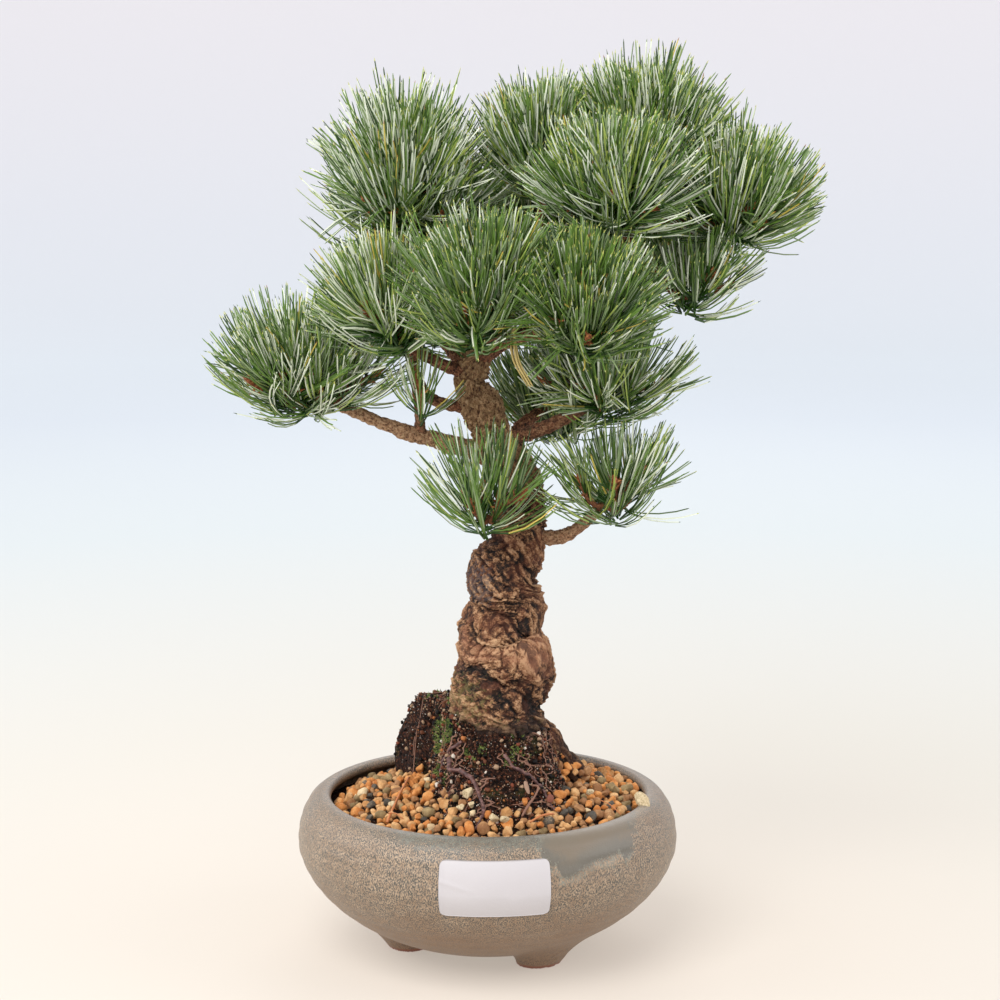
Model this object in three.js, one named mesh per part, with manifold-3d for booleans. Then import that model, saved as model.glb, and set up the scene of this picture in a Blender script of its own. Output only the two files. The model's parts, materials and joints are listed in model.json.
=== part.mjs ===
// A Japanese white pine bonsai, an informal upright tree about 42 cm tall with its bowl.
//
// Millimetres, +Z up, the front of the tree faces -Y. Every place below is measured from the
// point on the table under the middle of the bowl. The last lines move the whole group, so
// that its origin is the middle of its footprint on the table.
//
// The wood is a set of lofted limbs. Each mass of needles grows from the tip of its bough by
// one seeded rule: shoots spread through the mass, twigs join each shoot to the nearest wood,
// and needles stand out round the end of every shoot.

import * as THREE from 'three';
import { mergeVertices } from 'three/addons/utils/BufferGeometryUtils.js';
import Module from 'manifold-3d';

const wasm = await Module();
wasm.setup();

// Driving dimensions

const GAP = 0.35; // clear space between two pieces that touch on the real tree

const POT = {
  radius: 89, // at the widest, a little above half height
  widest: 51,
  height: 74.2,
  lipRadius: 75.8, // middle of the rounded lip
  lip: [[1.6, 0.8], [2.2, 3]], // its inner edge: inward and down from the top
  wall: 5.2,
  base: 4.5, // height of the belly above the table
  baseRadius: 29,
  floor: 11,
  segments: 30,
  lowerCurve: 1.66, // exponents of the two superellipse arcs of the outline
  upperCurve: 2.15,
};
// Three feet that splay outward; each level is its height and radius.
const FEET = {
  count: 3,
  ring: 38,
  turn: -51,
  levels: [[0, 14], [5, 16.5], [20, 25]],
  splay: 0.35,
  depth: 0.85,
  sides: 10,
};
const LABEL = {
  width: 49.5, low: 41.6, high: 66.1, thickness: 0.5, corner: 2.5, columns: 7, rows: 4, turn: -87.6,
};

const SOIL_TOP = 64;
// Gravel, heaped towards the root ball and a little higher on the right.
const GRAVEL = {
  radius: 73, edge: 69.9, middle: 83, tilt: 2.4, bump: 1.9, segments: 44, rings: 8, inner: 0.26, inset: 1.6,
  seed: 5,
};

// The root ball: for a few compass bearings (degrees, 0 is +X), the reach of its toe, the
// radius and height of its crest, and how hollow the slope between them is. A lobe stands out
// behind on the left, where old roots were cut, and the left flank below it is steep.
const MOUND_MIDDLE = [3, -6];
const MOUND_BOTTOM = SOIL_TOP + GAP;
const MOUND_CROWN = 112;
const MOUND_SEGMENTS = 40;
const MOUND_SHARES = [1, 0.82, 0.6, 0.36, 0.12, -0.2]; // rings, from its toe to past its crest
const MOUND = [
  { bearing: 0, toe: 38, crest: 24, top: 107, hollow: 1 },
  { bearing: 45, toe: 38, crest: 25, top: 109, hollow: 1 },
  { bearing: 78, toe: 46, crest: 32, top: 111, hollow: 0.8 },
  { bearing: 100, toe: 57, crest: 43, top: 113, hollow: 0.5 },
  { bearing: 134, toe: 67, crest: 54, top: 113, hollow: 0.42 },
  { bearing: 148, toe: 48, crest: 37, top: 114, hollow: 0.5 },
  { bearing: 160, toe: 32, crest: 24, top: 113, hollow: 0.7 },
  { bearing: 192, toe: 29, crest: 21.5, top: 111, hollow: 0.75 },
  { bearing: 222, toe: 33, crest: 20, top: 109, hollow: 0.9 },
  { bearing: 244, toe: 48, crest: 19, top: 108, hollow: 1.1 },
  { bearing: 264, toe: 57, crest: 19, top: 107, hollow: 1.15 },
  { bearing: 290, toe: 57, crest: 19, top: 106, hollow: 1.2 },
  { bearing: 314, toe: 50, crest: 21, top: 106, hollow: 1.15 },
  { bearing: 336, toe: 41, crest: 23, top: 106, hollow: 1.1 },
];

// The trunk from its flat cut to its tip: x, y, z and radius.
const TRUNK = [
  [6, 0, 76, 22],
  [5.8, 0, 90, 21.5],
  [5.6, 0, 101, 21.6],
  [5.6, 0, 114, 21.8],
  [6.8, -1, 125, 22.2],
  [7.6, -1, 132.5, 22.8],
  [8.2, -1, 139, 20.8],
  [5.8, 0, 146, 18.4],
  [6.4, 0, 153, 18.8],
  [9.2, 1, 160, 17],
  [8, 1, 168.5, 16],
  [7.6, 0, 176, 15.7],
  [10.2, 0, 184, 15.6],
  [13.4, 0, 194, 13.2],
  [16, 1, 204, 11.8],
  [17, 2, 216, 9.9],
  [13, 1, 226, 9.8],
  [6, 0, 236, 9.8],
  [1.4, 0, 246, 9],
  [-2.6, -1, 256, 9.4],
  [-7.8, -1, 266, 7.4],
  [-6.6, -2, 275, 7.8],
  [-0.9, -3, 286, 6.4],
  [8.7, -1, 296, 5.6],
  [20, 4, 305, 5],
  [32, 8, 314, 4.4],
];
// A deep fold of old bark winds up round the lower trunk. Its levels are the heights where it
// passes the right and the left side in turn. Its depth fades out above COIL.top.
const COIL = {
  levels: [94, 116, 136, 147, 160, 176, 193, 211], depth: 0.17, sharp: 0.55, swell: 1.4, top: 205, fade: 24,
};
const FLARE = { path: [[12, 1, 110], [24, 1, 102], [33, 1, 92], [43, 2, 80]], from: 8.5, to: 4.5 };

// Each bough: its radius at the foot and at the tip, and the points of its path.
const bough = (from, to, ...path) => ({ from, to, path });
const BOUGHS = {
  left_bough: bough(4.8, 2.6, [2, 0, 234], [-25, -3, 241.3], [-41, -7, 246.7], [-66, -12, 258]),
  left_spur: bough(2.2, 1.7, [-30.4, -4, 243], [-31.2, -8, 256], [-32.5, -13, 265]),
  middle_left_bough: bough(3, 2.2, [-8, -2, 271], [-21, -11, 277.3], [-33, -19, 284]),
  upper_left_bough: bough(5.2, 3.2, [-7, 0, 275], [-21, 5, 291], [-28, 8, 306], [-30.5, 8, 322]),
  front_bough: bough(4.4, 3.2, [-2, -4, 281], [1, -15, 288.5], [4, -28, 294]),
  front_right_bough: bough(3.8, 2.8, [0, -3, 282], [14, -18, 290.5], [24, -29, 293.5], [33, -37, 297]),
  right_bough: bough(4.2, 2.9, [28, 6, 311], [46, 6, 323], [68, 0, 337.5], [78, -2, 341]),
  lower_right_spur: bough(2.2, 1.8, [56, 4, 329.5], [66, 1, 325], [74, -4, 321]),
  top_left_bough: bough(3.8, 2.6, [18, 4, 303], [22, 9, 322], [24, 11, 340]),
  top_bough: bough(3.3, 2.4, [44, 6, 321], [54, 10, 338], [62, 14, 352]),
  top_front_bough: bough(2.4, 1.9, [53, 9, 337], [55, -8, 341], [57, -21, 347]),
  middle_right_bough: bough(3.8, 2.4, [5, 0, 240], [23, -5, 245.6], [38, -10, 253.4], [49, -13, 260]),
  low_right_bough: bough(4, 2.4, [14, 0, 195], [33.5, -4, 196.2], [43, -8, 202], [51, -14, 211]),
  low_front_bough: bough(3.8, 2.4, [13.5, -2, 196], [8.7, -10, 201], [5.9, -20, 209]),
  low_back_bough: bough(3.8, 2.4, [6, 2, 236], [16, 20, 244], [26, 36, 250]),
  back_left_bough: bough(3, 2.2, [-2, 0, 256], [-22, 6, 257], [-32, 20, 265], [-36, 34, 278]),
  back_top_bough: bough(3.6, 2.4, [17, 3, 303], [19, 24, 313], [20, 42, 323]),
  back_right_bough: bough(2.8, 2, [52, 4, 326], [62, 20, 325], [71, 34, 326]),
};

// Each mass of needles: the bough that carries it, the middle and half-sizes of its space,
// how many shoots it has, and its seed.
const pad = (carrier, middle, half, shoots, seed) => ({ carrier, middle, half, shoots, seed });
const MASSES = {
  left_pad: pad('left_bough', [-84, -14, 282], [48, 40, 32], 5, 34),
  left_spur_tuft: pad('left_spur', [-31, -22, 274], [25, 24, 20], 1, 12),
  middle_left_pad: pad('middle_left_bough', [-43, -28, 312], [33, 34, 31], 3, 35),
  upper_left_pad: pad('upper_left_bough', [-37, 6, 365], [41, 42, 45], 6, 34),
  front_pad: pad('front_bough', [0, -50, 322], [37, 35, 36], 5, 32),
  front_right_pad: pad('front_right_bough', [43, -52, 315], [34, 33, 34], 5, 33),
  right_pad: pad('right_bough', [110, -2, 357], [41, 38, 34], 5, 17),
  lower_right_pad: pad('lower_right_spur', [92, -10, 325], [31, 30, 22], 2, 18),
  top_left_pad: pad('top_left_bough', [25, 14, 379], [32, 35, 34], 4, 19),
  top_pad: pad('top_bough', [72, 18, 385], [41, 38, 35], 6, 20),
  top_front_pad: pad('top_front_bough', [56, -32, 366], [38, 32, 33], 4, 32),
  middle_right_pad: pad('middle_right_bough', [56, -16, 276], [39, 33, 24], 4, 33),
  low_right_pad: pad('low_right_bough', [58, -18, 232], [36, 32, 27], 3, 23),
  low_front_pad: pad('low_front_bough', [0, -28, 228], [36, 31, 28], 3, 24),
  low_back_pad: pad('low_back_bough', [34, 52, 261], [38, 36, 27], 4, 25),
  back_left_pad: pad('back_left_bough', [-34, 50, 306], [37, 37, 30], 4, 26),
  back_top_pad: pad('back_top_bough', [20, 64, 340], [38, 36, 34], 4, 27),
  back_right_pad: pad('back_right_bough', [80, 56, 333], [38, 36, 29], 4, 28),
};

// A shoot is a slim core with rings of corners, each ring turned by half a step from the
// last. Every face of the core is drawn out into a needle, where there is room for it.
const CORE = { sides: 6, rings: 4, step: 4, radius: 4.4, bud: 2.6, tail: 2 };
const SHOOT = {
  inset: 0.46, // tips keep this share of a needle inside the border of the space
  least: 8,
  headroom: 0.84, // the same share below the top of the space
  foot: 17, // height of the lowest tips above the bottom of the space
  jitter: 0.9, // of the turn between two shoots, in radians
  outward: 0.75, // the axis: away from the middle, along the bough and up
  along: 0.2,
  rise: 0.95,
  moves: 25,
};
const TWIG = {
  radius: 1.2,
  power: 0.35, // how fast a twig thickens with the shoots it carries
  longWay: 0.35,
  lead: 5, // the first stretch, straight on from the bough
  shortest: 1.5,
  bends: [-0.12, 0.12, 0.3], // sag or arch at its middle, as a share of its span
  inCore: 2, // how far it runs on into the shoot's core
};
const NEEDLE = {
  length: 45,
  share: 1.6, // small masses have shorter needles: this share of their half height at most
  spread: [0.88, 1.12], // of its length
  narrowest: 12, // degrees to the shoot's axis at its bud and at its tail
  widest: 98,
  opening: 0.8,
  jitter: { open: 8, turn: 0.25 }, // degrees, and radians round the shoot
  lift: 0.25,
  radius: 2.3,
  shortest: 0.4,
};
const CLEAR = { border: 1, limb: 1, needle: 0.15, samples: 12 };
const ACROSS = [0.2, 0.9, 0.4]; // no shoot grows along this heading
const GOLDEN_TURN = Math.PI * (3 - Math.sqrt(5));

// Roots that run over the front of the root ball: thickness, and a path of radii and bearings.
const ROOT = { taper: 0.45, raised: 0.7, over: 0.5 };
const ROOTS = {
  front_root: {
    radius: 1.7,
    path: [[25, 216], [28.5, 232], [32, 250], [36, 257], [41, 261.5], [46, 264.5], [49, 263], [53, 261]],
  },
  left_root: { radius: 1.1, path: [[22, 224], [24.5, 212], [26.9, 211.3], [29, 219.2], [33, 229]] },
  right_root: {
    radius: 1.2, path: [[25, 281], [29, 287], [32, 296], [33.5, 301], [36, 306], [39, 307], [46, 309]],
  },
};

const BEND_STEPS = 2; // rings of a limb between two points of its path
const BALL_STEPS = 3; // places tested for clearance between two of those rings
const LIMB_SIDES = 6;
const TRUNK_SIDES = 14;

const finish = (color, roughness, metalness = 0) =>
  new THREE.MeshStandardMaterial({ color, roughness, metalness });
const MATERIALS = {
  stoneware: finish(0x8a8378, 0.5),
  soil: finish(0x2e211b, 0.95),
  gravel: finish(0xb27a3c, 0.85),
  bark: finish(0x6b4a35, 0.9),
  root: finish(0x5a4038, 0.8),
  needles: finish(0x4c6b45, 0.55),
  paper: finish(0xf2eff0, 0.7),
};

// Solids

// The closed solid of a three.js geometry, facing out whichever way its faces were wound.
function solidOf(geometry) {
  const bare = new THREE.BufferGeometry();
  bare.setAttribute('position', geometry.getAttribute('position'));
  if (geometry.index) bare.setIndex(geometry.index);
  const merged = mergeVertices(bare, 1e-4);
  const faces = [];
  for (let i = 0; i < merged.index.count; i += 3) {
    const [a, b, c] = [0, 1, 2].map((k) => merged.index.getX(i + k));
    if (a !== b && b !== c && c !== a) faces.push([a, b, c]);
  }
  const build = (list) => new wasm.Manifold(new wasm.Mesh({
    numProp: 3,
    vertProperties: new Float32Array(merged.attributes.position.array),
    triVerts: new Uint32Array(list.flat()),
  }));
  const made = build(faces);
  return made.volume() < 0 ? build(faces.map(([a, b, c]) => [a, c, b])) : made;
}

const root = new THREE.Group();

function addPiece(name, solid, material) {
  const { vertProperties, triVerts } = solid.getMesh();
  const geometry = new THREE.BufferGeometry();
  geometry.setAttribute('position', new THREE.BufferAttribute(vertProperties, 3));
  geometry.setIndex(new THREE.BufferAttribute(triVerts, 1));
  geometry.computeVertexNormals();
  const mesh = new THREE.Mesh(geometry, material);
  mesh.name = name;
  root.add(mesh);
}

// Joins solids two by two, so that no step handles the whole of a growing mass.
function join(solids) {
  let left = solids;
  while (left.length > 1) {
    const next = [];
    for (let i = 0; i < left.length; i += 2) {
      next.push(i + 1 < left.length ? left[i].add(left[i + 1]) : left[i]);
    }
    left = next;
  }
  return left[0];
}

// The largest body of a solid: scraps are dropped, and hollows that joining sealed are filled.
function mainBody(solid) {
  return solid.decompose().reduce((best, body) => (body.volume() > best.volume() ? body : best));
}

// A closed skin over rings of points, each ring with the same number of points. A ring of
// one point closes that end to a tip; otherwise the end is capped flat.
function loft(rings) {
  const positions = [];
  const index = [];
  const starts = rings.map((ring) => {
    const start = positions.length / 3;
    ring.forEach((p) => positions.push(p.x, p.y, p.z));
    return start;
  });
  for (let k = 0; k + 1 < rings.length; k += 1) {
    const lower = rings[k].length;
    const upper = rings[k + 1].length;
    for (let i = 0; i < Math.max(lower, upper); i += 1) {
      const j = i + 1;
      const a = starts[k] + (i % lower);
      const b = starts[k] + (j % lower);
      const c = starts[k + 1] + (j % upper);
      const d = starts[k + 1] + (i % upper);
      if (lower > 1) index.push(a, b, c);
      if (upper > 1) index.push(a, c, d);
    }
  }
  const cap = (k, flip) => {
    for (let i = 1; i + 1 < rings[k].length; i += 1) {
      const [b, c] = flip ? [i + 1, i] : [i, i + 1];
      index.push(starts[k], starts[k] + b, starts[k] + c);
    }
  };
  cap(0, true);
  cap(rings.length - 1, false);
  const geometry = new THREE.BufferGeometry();
  geometry.setAttribute('position', new THREE.Float32BufferAttribute(positions, 3));
  geometry.setIndex(index);
  return geometry;
}

// Curves

const vector = (p) => new THREE.Vector3(p[0], p[1], p[2]);

// A smooth curve through rows of numbers, with `steps` rows between each two given ones.
function smooth(rows, steps) {
  const at = (i) => rows[Math.min(Math.max(i, 0), rows.length - 1)];
  const out = [];
  for (let i = 0; i + 1 < rows.length; i += 1) {
    const [p0, p1, p2, p3] = [at(i - 1), at(i), at(i + 1), at(i + 2)];
    for (let s = 0; s < steps; s += 1) {
      const t = s / steps;
      out.push(p1.map((v, k) => {
        const cubic = 3 * (v - p2[k]) + p3[k] - p0[k];
        const square = 2 * p0[k] - 5 * v + 4 * p2[k] - p3[k];
        return v + 0.5 * t * (p2[k] - p0[k] + t * (square + t * cubic));
      }));
    }
  }
  out.push(rows[rows.length - 1]);
  return out;
}

// Rows of x, y, z, radius along a bough.
function limbRows({ path, from, to }) {
  const rows = path.map((p, i) => [...p, from + ((to - from) * i) / (path.length - 1)]);
  return smooth(rows, BEND_STEPS);
}

const STEEP = 0.8; // a limb that climbs more than this starts its rings from +X, others from +Z

// Rings of points round rows of x, y, z, radius. `grow` makes every ring wider, and
// `shape(bearing, z)` scales the radius where the section isn't round.
function ringsRound(rows, sides, grow = 0, shape = () => 1) {
  const side = new THREE.Vector3();
  return rows.map((row, i) => {
    const before = vector(rows[Math.max(i - 1, 0)]);
    const after = vector(rows[Math.min(i + 1, rows.length - 1)]);
    const along = after.sub(before).normalize();
    if (i === 0 && rows.flatStart) along.set(0, 0, 1);
    if (i === 0) side.fromArray(Math.abs(along.z) > STEEP ? [1, 0, 0] : [0, 0, 1]);
    side.addScaledVector(along, -side.dot(along)).normalize();
    const up = along.clone().cross(side);
    const middle = vector(row);
    return Array.from({ length: sides }, (_, k) => {
      const bearing = (2 * Math.PI * k) / sides;
      const reach = (row[3] + grow) * shape(bearing, row[2]);
      return middle.clone().addScaledVector(side, reach * Math.cos(bearing))
        .addScaledVector(up, reach * Math.sin(bearing));
    });
  });
}

const limbSolid = (rows, grow = 0) => solidOf(loft(ringsRound(rows, LIMB_SIDES, grow)));

// Bowl

// The outer outline from the foot of the belly to the lip, as radius and height.
function outerOutline(inset, steps) {
  const points = [];
  for (let i = 0; i <= steps; i += 1) {
    const a = (Math.PI / 2) * (i / steps);
    points.push([
      POT.baseRadius + (POT.radius - inset - POT.baseRadius) * Math.sin(a) ** (2 / POT.lowerCurve),
      POT.widest - (POT.widest - POT.base - inset) * Math.cos(a) ** (2 / POT.lowerCurve),
    ]);
  }
  for (let i = 1; i <= steps - 2; i += 1) {
    const a = (Math.PI / 2) * (i / (steps - 2));
    points.push([
      POT.lipRadius + (POT.radius - inset - POT.lipRadius) * Math.cos(a) ** (2 / POT.upperCurve),
      POT.widest + (POT.height - inset - POT.widest) * Math.sin(a) ** (2 / POT.upperCurve),
    ]);
  }
  return points;
}

// The radius of the outline at a height.
function bellyRadius(z) {
  if (z > POT.widest) {
    const a = Math.asin(((z - POT.widest) / (POT.height - POT.widest)) ** (POT.upperCurve / 2));
    return POT.lipRadius + (POT.radius - POT.lipRadius) * Math.cos(a) ** (2 / POT.upperCurve);
  }
  const a = Math.acos(((POT.widest - z) / (POT.widest - POT.base)) ** (POT.lowerCurve / 2));
  return POT.baseRadius + (POT.radius - POT.baseRadius) * Math.sin(a) ** (2 / POT.lowerCurve);
}

const lathe = (profile) => solidOf(
  new THREE.LatheGeometry(profile.map(([r, z]) => new THREE.Vector2(r, z)), POT.segments)
    .rotateX(Math.PI / 2),
);

// Inner outline of the wall, between the floor of the bowl and its lip.
const BELOW_LIP = 4;
const ARC_STEPS = { outer: 6, inner: 5 };
const CAVITY = outerOutline(POT.wall, ARC_STEPS.inner)
  .filter(([, z]) => z > POT.floor && z < POT.height - BELOW_LIP);

function makePot() {
  const outer = outerOutline(0, ARC_STEPS.outer);
  const lip = POT.lip.map(([inward, down]) => [POT.lipRadius - inward, POT.height - down]);
  const inner = [...CAVITY].reverse();
  const bowl = lathe([[0, POT.base], ...outer, ...lip, ...inner, [0, POT.floor]]);
  const feet = Array.from({ length: FEET.count }, (_, k) => {
    const bearing = THREE.MathUtils.degToRad(FEET.turn + (360 / FEET.count) * k);
    return solidOf(loft(FEET.levels.map(([z, r]) => Array.from({ length: FEET.sides }, (__, i) => {
      const a = (2 * Math.PI * i) / FEET.sides;
      const ring = FEET.ring + z * FEET.splay;
      const [along, across] = [ring + r * FEET.depth * Math.cos(a), r * Math.sin(a)];
      return new THREE.Vector3(
        along * Math.cos(bearing) - across * Math.sin(bearing),
        along * Math.sin(bearing) + across * Math.cos(bearing),
        z,
      );
    }))));
  });
  const hollow = lathe([[0, POT.floor], ...CAVITY, [0, 2 * POT.height]]);
  return join([bowl, ...feet.map((foot) => foot.subtract(hollow))]);
}

function makeLabel() {
  const rows = Array.from({ length: LABEL.rows }, (_, i) => i / (LABEL.rows - 1));
  const columns = Array.from({ length: LABEL.columns }, (_, i) => i / (LABEL.columns - 1));
  const place = (s, t, out) => {
    const z = LABEL.low + (LABEL.high - LABEL.low) * t;
    const edge = Math.min(t, 1 - t) === 0 ? LABEL.corner : 0;
    const x = (s - 0.5) * (LABEL.width - 2 * edge);
    const middle = bellyRadius((LABEL.low + LABEL.high) / 2);
    const bearing = THREE.MathUtils.degToRad(LABEL.turn) + x / middle;
    const slope = (bellyRadius(z + 1) - bellyRadius(z - 1)) / 2;
    const level = Math.hypot(1, slope);
    const r = bellyRadius(z) + out / level;
    return new THREE.Vector3(r * Math.cos(bearing), r * Math.sin(bearing), z - (out * slope) / level);
  };
  const rings = columns.map((s) => [
    ...rows.map((t) => place(s, t, GAP)),
    ...rows.map((t) => place(s, 1 - t, GAP + LABEL.thickness)),
  ]);
  return solidOf(loft(rings));
}

// Soil, root ball and gravel

// The radius inside the wall of the bowl at a height.
function cavityRadius(z) {
  const k = CAVITY.findIndex(([, level]) => level > z);
  const [[r0, z0], [r1, z1]] = [CAVITY[k - 1], CAVITY[k]];
  return r0 + ((r1 - r0) * (z - z0)) / (z1 - z0);
}

function makeSoil() {
  const wall = CAVITY.filter(([, z]) => z < SOIL_TOP - GAP).map(([r, z]) => [r - GAP, z + GAP]);
  const edge = [cavityRadius(SOIL_TOP) - 1.5 * GAP, SOIL_TOP];
  return lathe([[0, POT.floor + GAP], ...wall, edge, [0, SOIL_TOP]]);
}

// Values of the root ball at a bearing in degrees, smoothly between the given ones.
function moundAt(degrees) {
  const turn = ((degrees % 360) + 360) % 360;
  const n = MOUND.length;
  const k = MOUND.filter((m) => m.bearing <= turn).length - 1;
  const [a, b] = [MOUND[k], MOUND[(k + 1) % n]];
  const t = (turn - a.bearing) / (((b.bearing - a.bearing + 360) % 360) || 360);
  const s = t * t * (3 - 2 * t);
  const mix = (key) => a[key] + (b[key] - a[key]) * s;
  return { toe: mix('toe'), crest: mix('crest'), top: mix('top'), hollow: mix('hollow') };
}

// Height of the root ball's surface at a radius and bearing.
function moundHeight(radius, degrees) {
  const m = moundAt(degrees);
  const up = THREE.MathUtils.clamp((m.toe - radius) / (m.toe - m.crest), 0, 1.1);
  return GRAVEL.edge + (m.top - GRAVEL.edge) * up ** m.hollow;
}

// Lumps and hollows of the root ball's surface, without a repeat from ring to ring.
const LUMP = { out: 1.6, up: 0.96, slope: 18, ring: 12.9, step: 4.7, drift: 3, wander: 2.3 };
const lump = (k, i) => Math.sin(LUMP.ring * k + LUMP.step * i + LUMP.drift * Math.sin(LUMP.wander * i));

function moundSolid(grow = 0) {
  const rings = MOUND_SHARES.map((share, k) => Array.from({ length: MOUND_SEGMENTS }, (_, i) => {
    const degrees = (360 * i) / MOUND_SEGMENTS;
    const m = moundAt(degrees);
    const a = THREE.MathUtils.degToRad(degrees);
    const r = m.crest + (m.toe - m.crest) * share;
    const rough = LUMP.out * Math.min((m.toe - m.crest) / LUMP.slope, 1);
    const out = r + grow + (k > 0 ? rough * lump(k, i) : 0);
    return new THREE.Vector3(
      MOUND_MIDDLE[0] + out * Math.cos(a),
      MOUND_MIDDLE[1] + out * Math.sin(a),
      moundHeight(r, degrees) + grow + LUMP.up * lump(k + 3, i),
    );
  }));
  const foot = rings[0].map((p) => p.clone().setZ(MOUND_BOTTOM - 2 * grow));
  const top = new THREE.Vector3(MOUND_MIDDLE[0], MOUND_MIDDLE[1], MOUND_CROWN + grow);
  return solidOf(loft([foot, ...rings, [top]]));
}

function makeGravel(random) {
  const tilt = (a) => GRAVEL.tilt * Math.cos(a);
  const ring = (share, heightAt) => Array.from({ length: GRAVEL.segments }, (_, i) => {
    const a = (2 * Math.PI * i) / GRAVEL.segments;
    const r = GRAVEL.radius * share;
    return new THREE.Vector3(r * Math.cos(a), r * Math.sin(a), heightAt(share, a));
  });
  const level = (share, a) => GRAVEL.edge + (GRAVEL.middle - GRAVEL.edge) * (1 - share ** 2)
    + tilt(a) * share + GRAVEL.bump * (random() - 0.5) * 2;
  const rim = (share, a) => GRAVEL.edge + tilt(a) - GRAVEL.inset * random();
  const rings = [ring(1, () => SOIL_TOP + GAP), ring(1, rim)];
  for (let k = GRAVEL.rings - 1; k > 0; k -= 1) {
    rings.push(ring(THREE.MathUtils.lerp(GRAVEL.inner, 1, k / GRAVEL.rings), level));
  }
  rings.push([new THREE.Vector3(0, 0, GRAVEL.middle)]);
  return solidOf(loft(rings));
}

function rootRows({ radius, path }) {
  return path.map(([r, degrees], i) => {
    const a = THREE.MathUtils.degToRad(degrees);
    const thickness = radius * (1 - (ROOT.taper * i) / (path.length - 1));
    return [
      MOUND_MIDDLE[0] + r * Math.cos(a),
      MOUND_MIDDLE[1] + r * Math.sin(a),
      moundHeight(r, degrees) + thickness * ROOT.raised + ROOT.over,
      thickness,
    ];
  });
}

// Trunk

const trunkRows = Object.assign([...TRUNK], { flatStart: true });

// The bearing where the fold passes at a height, in turns that count on round the trunk.
function foldBearing(z) {
  const last = COIL.levels.length - 2;
  const k = THREE.MathUtils.clamp(COIL.levels.filter((level) => level <= z).length - 1, 0, last);
  const t = (z - COIL.levels[k]) / (COIL.levels[k + 1] - COIL.levels[k]);
  return -Math.PI * (k + 1 + t);
}

// Share of the trunk's radius at a bearing: bark that swells beside the fold.
function coil(bearing, z) {
  const fade = THREE.MathUtils.clamp((COIL.top - z) / COIL.fade, 0, 1);
  const away = Math.abs(Math.sin((bearing - foldBearing(z)) / 2));
  return 1 + COIL.depth * fade * (COIL.swell * away ** COIL.sharp - 1);
}

const trunkSkin = Object.assign(smooth(TRUNK, BEND_STEPS), { flatStart: true });

function trunkSolid(grow = 0) {
  const stem = solidOf(loft(ringsRound(trunkSkin, TRUNK_SIDES, grow, coil)));
  return stem.add(limbSolid(limbRows(FLARE), grow));
}

// Masses of needles

// A seeded row of numbers from 0 to 1.
function seeded(seed) {
  let state = (seed * 2654435761) >>> 0;
  return () => {
    state = (Math.imul(state, 1664525) + 1013904223) >>> 0;
    return state / 4294967296;
  };
}

// How far out a place is in a mass's space: 1 on its border.
const depthIn = (mass, p) => Math.hypot(...mass.half.map(
  (h, k) => (p.getComponent(k) - mass.middle[k]) / h,
));

// True where a place is in the mass's space and `margin` away from every other mass's.
function owns(mass, p, margin) {
  const own = depthIn(mass, p);
  if (own > 1) return false;
  const least = Math.min(...mass.half);
  return Object.values(MASSES).every((other) => other === mass
    || depthIn(other, p) - own > margin * (1 / least + 1 / Math.min(...other.half)));
}

// Small masses have shorter needles.
const needleLength = (mass) => Math.min(NEEDLE.length, NEEDLE.share * mass.half[2]);

const freeOf = (limbs, p, radius) => limbs.every(
  (ball) => ball.at.distanceTo(p) > ball.radius + radius + CLEAR.limb,
);

// Moves a shoot's tip until its core is clear of the limbs and in the mass's own space.
function settle(mass, tip, axis, limbs) {
  const middle = new THREE.Vector3(...mass.middle);
  for (let i = 0; i < SHOOT.moves; i += 1) {
    const heart = tip.clone().addScaledVector(axis, (-(CORE.rings - 1) * CORE.step) / 2);
    const free = freeOf(limbs, heart, CORE.radius + CORE.step);
    const own = owns(mass, heart, CORE.radius + CORE.step);
    if (!free) {
      const gap = (ball) => ball.at.distanceTo(heart) - ball.radius;
      const nearest = limbs.reduce((best, ball) => (gap(ball) < gap(best) ? ball : best));
      tip.add(heart.sub(nearest.at).normalize());
    }
    if (!own) tip.add(middle.clone().sub(tip).normalize());
    if (free && own) break;
  }
  return tip;
}

// The shoots of a mass, nearest its stem first: the upper ones stand near its middle and the
// lower ones further out, and each points up and away from the middle.
function shootsOf(mass, stem, heading, limbs) {
  const random = seeded(mass.seed);
  const length = needleLength(mass);
  const [wide, deep] = mass.half.map((h) => Math.max(h - SHOOT.inset * length, SHOOT.least));
  const top = mass.half[2] - SHOOT.headroom * length;
  const bottom = Math.min(SHOOT.foot - mass.half[2], top);
  const shoots = [];
  for (let i = 0; i < mass.shoots; i += 1) {
    const share = (i + 0.5) / mass.shoots;
    const turn = i * GOLDEN_TURN + random() * SHOOT.jitter + mass.seed;
    const flat = mass.shoots > 1 ? Math.sqrt(share) : 0;
    const [x, y] = [flat * Math.cos(turn), flat * Math.sin(turn)];
    const tip = new THREE.Vector3(...mass.middle);
    tip.x += x * wide;
    tip.y += y * deep;
    tip.z += top + (bottom - top) * share;
    const axis = new THREE.Vector3(x * SHOOT.outward, y * SHOOT.outward, SHOOT.rise);
    axis.addScaledVector(heading, SHOOT.along).normalize();
    shoots.push({ tip: settle(mass, tip, axis, limbs), axis });
  }
  return shoots.sort((a, b) => a.tip.distanceTo(stem) - b.tip.distanceTo(stem));
}

// A thin closed tube through places, three-sided, with a radius for each place.
function twigSolid(places, radii) {
  return solidOf(loft(ringsRound(places.map((p, i) => [p.x, p.y, p.z, radii[i]]), 3)));
}

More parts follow.
